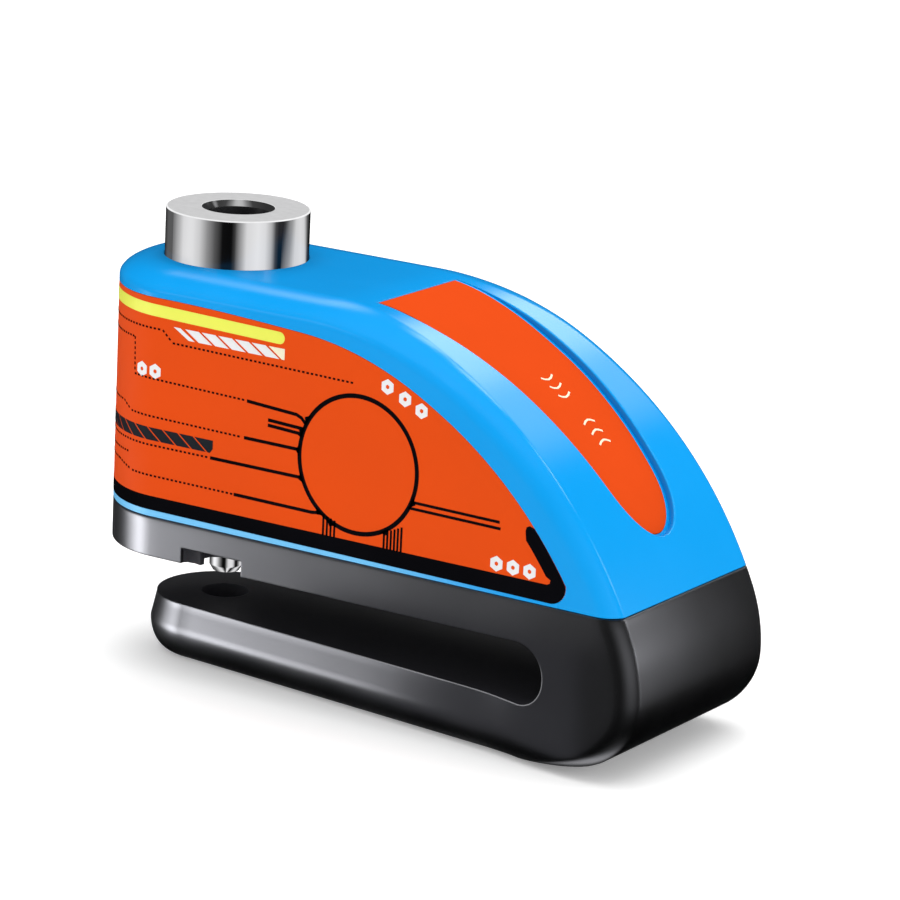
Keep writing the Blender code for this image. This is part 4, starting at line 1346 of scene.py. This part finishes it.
def print_inlay_marks():
    """Three arrow marks pointing forwards and three pointing back on the inlay."""
    mesh = bmesh.new()
    low, high = 0.004, 0.04
    for k in range(3):
        for (first, pitch, y), points in INLAY_MARKS:
            tip = np.array((first + pitch * k, y))
            rings = []
            for left, right in ribbon_edges([tip + point for point in points], 0.33):
                ring = []
                for (run, side), height in ((left, low), (right, low),
                                            (right, high), (left, high)):
                    x, z = below_top(run, channel_depth(run) - height)
                    ring.append((x, side, z))
                rings.append(ring)
            loft(rings, mesh)
    piece = mesh_object("inlay_marks", mesh, ["ink_cream"], merge=1e-9)
    register(piece, "housing")


# ---------------------------------------------------------------- lock cylinder
def is_bore(x, y, z, normal):
    return 4.8 < math.hypot(x, y) < KEY_HOLE_RADIUS + 0.06 and z > RING_TOP - 1.0


def is_barrel_hollow_shaded(x, y, z, normal):
    radius = math.hypot(x, y)
    return radius < 4.83 or (radius < 6.8 and z < RING_TOP - 1.6)


def build_barrel():
    # radius, z
    profile = [
        (KEY_HOLE_RADIUS + 0.12, RING_TOP), (RING_RADIUS - 0.24, RING_TOP),
        (RING_RADIUS, RING_TOP - 0.17), (RING_RADIUS, 33.3), (6.7, 33.3), (6.7, 34.3),
        (7.5, 34.3), (7.5, 35.9), (6.75, 35.9), (6.75, 67.3), (4.8, 67.3),
        (4.8, RING_TOP - 0.95),
    ]
    profile = fillet(profile, {0: 0.14, 1: 0.08, 2: 0.08, 3: 0.4, 11: 0.12}, 4)
    piece = mesh_object("lock_barrel", turned(profile, 144),
                        ["chrome", "black_moulding_and_painted_shade", "chrome_bore"])
    ramp = [(9.7, 40.0), (9.7 + 0.095 * 13.7, 53.7), (16.0, 53.7), (16.0, 40.0)]
    carve(piece, [
        (CUT, box(-14, -5, -3.3, 3.3, 39.7, 43.8)),  # latch window, at the rear
        (CUT, side_prism(ramp, 3.4)),  # sloped recess, at the front
        (CUT, box(-1.3, 1.3, 8.8, 14, 46.3, 56.5)),  # stop groove, on the far side
    ])
    # the key hole's chamfer takes the chrome with its own painted reflection
    paint_where(piece, "chrome_bore", is_bore)
    # painted shade: the barrel's hollow and key hole walls are coloured black so they read dark
    paint_where(piece, "black_moulding_and_painted_shade", is_barrel_hollow_shaded)
    even_normals(piece)
    piece.visible_glossy = False
    register(piece, "plunger", "plunger_body")


def build_pin():
    # radius, z
    profile = [
        (0, PIN_TIP_Z), (PIN_RADIUS - 0.6, PIN_TIP_Z), (PIN_RADIUS, PIN_TIP_Z + 1.0),
        (PIN_RADIUS, 36.2), (6.4, 36.2), (6.4, 39.6), (0, 39.6),
    ]
    profile = fillet(profile, {1: 0.25, 2: 0.4, 4: 0.2, 5: 0.2}, 4)
    piece = mesh_object("crossing_pin", turned(profile, 80), ["chrome"])
    even_normals(piece)
    register(piece, "plunger", "lock_pin")


def build_screws():
    # radius, z: head at the bottom, pointed shank above
    profile = [(0, 19.3), (2.35, 19.3), (2.6, 19.6), (2.6, 20.9), (1.3, 20.9), (1.3, 36.0),
               (0.9, 37.0), (0, 37.0)]
    profile = fillet(profile, {1: 0.15, 3: 0.1}, 3)
    for i, (x, y) in enumerate(SCREWS, 1):
        piece = mesh_object(f"body_screw_{i}", turned(profile, 40, x, y), ["zinc_plate"])
        star = []
        for k in range(12):
            radius = 1.25 if k % 2 == 0 else 0.92
            angle = k * math.pi / 6
            star.append((x + radius * math.cos(angle), y + radius * math.sin(angle)))
        carve(piece, [(CUT, prism(star, 18.0, 20.3))])
        register(piece, "housing", f"housing_screw_{i}")


# ---------------------------------------------------------------- CAD pieces that stay shown
CAD_FINISHES = {
    "rubber": ("body_gasket", "o_ring_seal"),
    "brass": ("guide_sleeve", "siren_disc", "battery_contact"),
    "machined_steel": ("return_spring", "vibration_sensor", "battery_spring", "core_snap_ring",
                       "core_drum", "side_bar", "core_cam", "latch_bolt"),
    "board_green": ("circuit_board",),
    "black_moulding_and_painted_shade": ("controller_chip", "siren_housing", "battery_holder", "micro_switch",
                       "guard_disc"),
    "orange_vinyl": ("switch_button",),
}


def cad_finish(name):
    for material, names in CAD_FINISHES.items():
        if name in names:
            return material
    if name.startswith("tumbler"):
        return "brass"
    if name.startswith("battery_cell"):
        return "cell_nickel"
    return "zinc_plate" if "screw" in name else None


def finish_cad_pieces():
    for name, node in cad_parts.items():
        material = cad_finish(name)
        if material is None or node.hide_render:
            continue
        node.data.materials.clear()
        node.data.materials.append(MATERIALS[material])


# ---------------------------------------------------------------- floor (metres from here on)
def sheet(name, corners, uv=False):
    """A single four-cornered face with the material of the same or given name."""
    mesh = bmesh.new()
    face = mesh.faces.new([mesh.verts.new(corner) for corner in corners])
    if uv:
        layer = mesh.loops.layers.uv.new("uv")
        for loop, spot in zip(face.loops, ((0, 0), (1, 0), (1, 1), (0, 1))):
            loop[layer].uv = spot
    return link_object(name, mesh, [name if uv else name + "_white"])


def build_floor():
    graph = new_material("floor_white")
    noise = graph.noise(graph.add("TexCoord").outputs["Object"], 8.0)
    white = graph.ramp(noise, [(0.3, 0.93), (0.7, 0.95)])
    graph.set(graph.bsdf, Base_Color=white, Roughness=0.9, Emission_Color=white,
              Emission_Strength=0.22, Specular_IOR_Level=0.0)
    half = 3.0
    floor = sheet("floor", [(x, y, -0.0001) for x, y in
                            ((-half, -half), (half, -half), (half, half), (-half, half))])
    floor.visible_glossy = False


# ---------------------------------------------------------------- world
# what the body mirrors: compass angle in degrees, brightness
ROOM = (
    (-180, 0.10), (-150, 0.10), (-120, 0.08), (-90, 0.05), (-70, 0.02), (-52, 0.16),
    (-30, 0.52), (-8, 0.42), (6, 0.10), (18, 0.02), (30, 0.04), (46, 0.05), (70, 0.04),
    (96, 0.02), (140, 0.02), (165, 0.05),
)
# upward part of the direction, from -1 to 1, and the panels' brightness there
ROOM_HEIGHT = ((-1.0, 0.01), (-0.55, 0.015), (-0.40, 0.10), (-0.25, 0.50), (0.0, 0.85),
               (0.2, 1.0), (0.45, 0.35), (1.0, 0.12))
# round soft lights: compass, elevation, inner and outer radius in degrees, power
SPOTS = (
    (-129, 36, 2, 13, 0.9), (103, 31, 3, 12, 3.6), (86, 34, 3, 12, 1.5),
    (116, -77, 6, 26, 1.3), (128, 36, 1, 7, 1.8), (104, 47, 1, 7, 4.5), (82, 52, 1, 8, 6.0),
    (54, 43, 1, 8, 6.0), (40, 26, 1, 8, 5.0), (36, 6, 1, 7, 3.6), (38, -12, 1, 6, 1.6),
)


def build_world():
    """White to the camera, even light on surfaces, and a panelled room in reflections."""
    world = bpy.data.worlds.new("studio")
    scene.world = world
    world.use_nodes = True
    world.node_tree.nodes.clear()
    graph = Graph(world.node_tree)

    def background(colour, strength):
        return graph.add("Background", Color=colour, Strength=strength).outputs["Background"]

    direction = graph.add("TexCoord").outputs["Generated"]
    parts = graph.split(direction)
    height = graph.map_range(parts["Z"], -1.0, 1.0)
    fade = graph.ramp(height, [((upward + 1) / 2, grey) for upward, grey in ROOM_HEIGHT])
    glow = graph.math("MULTIPLY", graph.compass(parts, ROOM), fade)
    for spot in SPOTS:
        compass, elevation, inner, outer = (math.radians(degrees) for degrees in spot[:4])
        aim = (math.cos(elevation) * math.cos(compass),
               math.cos(elevation) * math.sin(compass), math.sin(elevation))
        light = graph.map_range(graph.dot(direction, aim), math.cos(outer), math.cos(inner),
                                to_high=spot[4], smooth=True)
        glow = graph.math("ADD", glow, light)
    rays = graph.add("LightPath").outputs
    white = (1, 1, 1, 1)
    lighting = graph.mix_shader(rays["Is Glossy Ray"], background(white, 0.78),
                                background(glow, 1.0))
    shader = graph.mix_shader(rays["Is Camera Ray"], lighting, background(white, 1.05))
    graph.add("OutputWorld", Surface=shader)


# ---------------------------------------------------------------- lights
LIGHT_AIM = Vector((0.0, 0.0, 0.032))
# name, position, side of the square, power in watts
AREA_LIGHTS = (
    ("top_soft", (0.02, 0.05, 0.75), 0.9, 4.6),
    ("key_side", (-0.25, -0.75, 0.42), 0.5, 0.1),
    ("nose_fill", (0.75, -0.10, 0.30), 0.4, 0.8),
)


def build_lights():
    for name, position, size, power in AREA_LIGHTS:
        data = bpy.data.lights.new(name, "AREA")
        data.shape = "SQUARE"
        data.size = size
        data.energy = power
        light = bpy.data.objects.new(name, data)
        light.location = position
        toward = LIGHT_AIM - Vector(position)
        light.rotation_euler = toward.to_track_quat("-Z", "Y").to_euler()
        light.visible_camera = False
        light.visible_glossy = False
        scene.collection.objects.link(light)


# ---------------------------------------------------------------- cards seen in reflections
def card(name, corners, shade):
    """A card seen only in reflections; shade(graph, uv) returns its shader."""
    graph = new_material(name)
    graph.tree.nodes.clear()
    uv_map = graph.add("UVMap")
    uv_map.uv_map = "uv"
    shader = shade(graph, graph.split(uv_map.outputs["UV"]))
    graph.add("OutputMaterial", Surface=shader)
    MATERIALS[name].cycles.emission_sampling = "NONE"
    piece = sheet(name, corners, uv=True)
    piece.visible_camera = piece.visible_diffuse = False
    piece.visible_shadow = piece.visible_transmission = False


def reflector(name, start, toward, distance, wide, high, across, upward, strength, upper=None):
    """A glowing board standing off from start; across and upward shape its brightness.

    upper, if given, takes the place of across in the upper part.
    """
    direction = Vector(toward).normalized()
    centre = Vector(start) + direction * distance
    rise = Vector((0, 0, 1))
    side = rise.cross(direction).normalized()

    def shade(graph, uv):
        level = graph.ramp(uv["X"], across)
        if upper:
            in_upper = graph.ramp(uv["Y"], [(0.62, 0.0), (0.72, 1.0)])
            level = graph.mix(in_upper, level, graph.ramp(uv["X"], upper))
        level = graph.math("MULTIPLY", level, graph.ramp(uv["Y"], upward))
        level = graph.math("MULTIPLY", level, strength)
        total = graph.add("AddShader")
        graph.feed(total.inputs[0], graph.add("Emission", Strength=level).outputs["Emission"])
        graph.feed(total.inputs[1], graph.add("BsdfTransparent").outputs["BSDF"])
        return total.outputs["Shader"]

    corners = [centre + side * i * wide / 2 + rise * j * high / 2
               for i, j in ((-1, -1), (1, -1), (1, 1), (-1, 1))]
    card(name, corners, shade)


def jaw_flag():
    """A dark card off the near side with a soft rear edge; it shades the front of the jaw."""
    x0, x1 = LOCK_X + 16.0, LOCK_X + 70.0
    y, z0, z1 = -31.0, -14.0, 16.5
    soft = 12.0

    def shade(graph, uv):
        dark = graph.add("Emission", Color=(0.13, 0.13, 0.14, 1)).outputs["Emission"]
        clear = graph.add("BsdfTransparent").outputs["BSDF"]
        cover = graph.map_range(uv["X"], 0.0, soft / (x1 - x0), smooth=True)
        return graph.mix_shader(cover, clear, dark)

    corners = [(x * MM, y * MM, z * MM) for x, z in ((x0, z0), (x1, z0), (x1, z1), (x0, z1))]
    card("jaw_flag", corners, shade)


def build_cards():
    # beside the near wall: bright towards the rear, fading towards the nose
    reflector(
        "side_board", start=(0.0, -0.018, 0.012), toward=(-0.513, -0.820, -0.2546),
        distance=0.20, wide=0.50, high=0.26, strength=17.0,
        across=[(0.0, 0.0), (0.24, 0.30), (0.28, 0.60), (0.32, 0.50), (0.36, 0.25),
                (0.40, 0.12), (0.44, 0.060), (0.48, 0.030), (0.52, 0.014), (0.56, 0.006),
                (0.62, 0.0), (1.0, 0.0)],
        upward=[(0.0, 0.0), (0.39, 0.0), (0.45, 0.95), (0.56, 1.0), (0.95, 1.0), (1.0, 0.0)],
        upper=[(0.0, 0.0), (0.16, 0.0), (0.24, 0.045), (0.30, 0.085), (0.335, 0.094),
               (0.354, 0.072), (0.38, 0.028), (0.41, 0.008), (0.48, 0.0)],
    )
    reflector(
        "nose_board", start=(0.0505, -0.005, 0.022), toward=(0.513, 0.820, -0.2546),
        distance=0.075, wide=0.16, high=0.14, strength=0.6,
        across=[(0.0, 0.0), (0.15, 0.8), (0.38, 1.0), (0.45, 0.60), (0.51, 0.20),
                (0.57, 0.04), (0.64, 0.0), (1.0, 0.0)],
        upward=[(0.0, 0.0), (0.40, 0.0), (0.49, 0.45), (0.60, 0.80), (0.80, 1.0), (1.0, 0.4)],
    )
    jaw_flag()


# ---------------------------------------------------------------- camera
CAMERA_BEARING = math.radians(32.035)  # from -Y towards the nose
CAMERA_ELEVATION = math.radians(14.747)
CAMERA_ROLL = math.radians(2.750)
CAMERA_LENS = 179.25632
# mm from the foot of the lock axis, along the camera's right, up and back directions
CAMERA_RIGHT, CAMERA_UP, CAMERA_BACK = 35.365, 30.467, 698.597


def build_camera():
    level = math.cos(CAMERA_ELEVATION)
    back = Vector((math.sin(CAMERA_BEARING) * level, -math.cos(CAMERA_BEARING) * level,
                   math.sin(CAMERA_ELEVATION)))
    flat_right = Vector((math.cos(CAMERA_BEARING), math.sin(CAMERA_BEARING), 0))
    flat_up = back.cross(flat_right)
    cosine, sine = math.cos(CAMERA_ROLL), math.sin(CAMERA_ROLL)
    right = cosine * flat_right + sine * flat_up
    up = -sine * flat_right + cosine * flat_up
    offset = right * CAMERA_RIGHT + up * CAMERA_UP + back * CAMERA_BACK
    eye = (offset + Vector((LOCK_X, 0, 0))) * MM
    data = bpy.data.cameras.new("camera")
    data.sensor_width = 36.0
    data.lens = CAMERA_LENS
    data.clip_start, data.clip_end = 0.01, 20
    camera = bpy.data.objects.new("camera", data)
    rotation = Matrix((right, up, back)).transposed().to_4x4()
    camera.matrix_world = Matrix.Translation(eye) @ rotation
    scene.collection.objects.link(camera)
    scene.camera = camera
    scene.view_settings.view_transform = "Standard"
    scene.view_settings.look = "None"


build_materials()
build_cast()
build_spring()
build_shell()
build_label()
build_inlay()
print_black()
print_charcoal()
print_white()
print_yellow()
print_cream()
print_inlay_marks()
build_barrel()
build_pin()
build_screws()
finish_cad_pieces()
build_floor()
build_world()
build_lights()
build_cards()
build_camera()
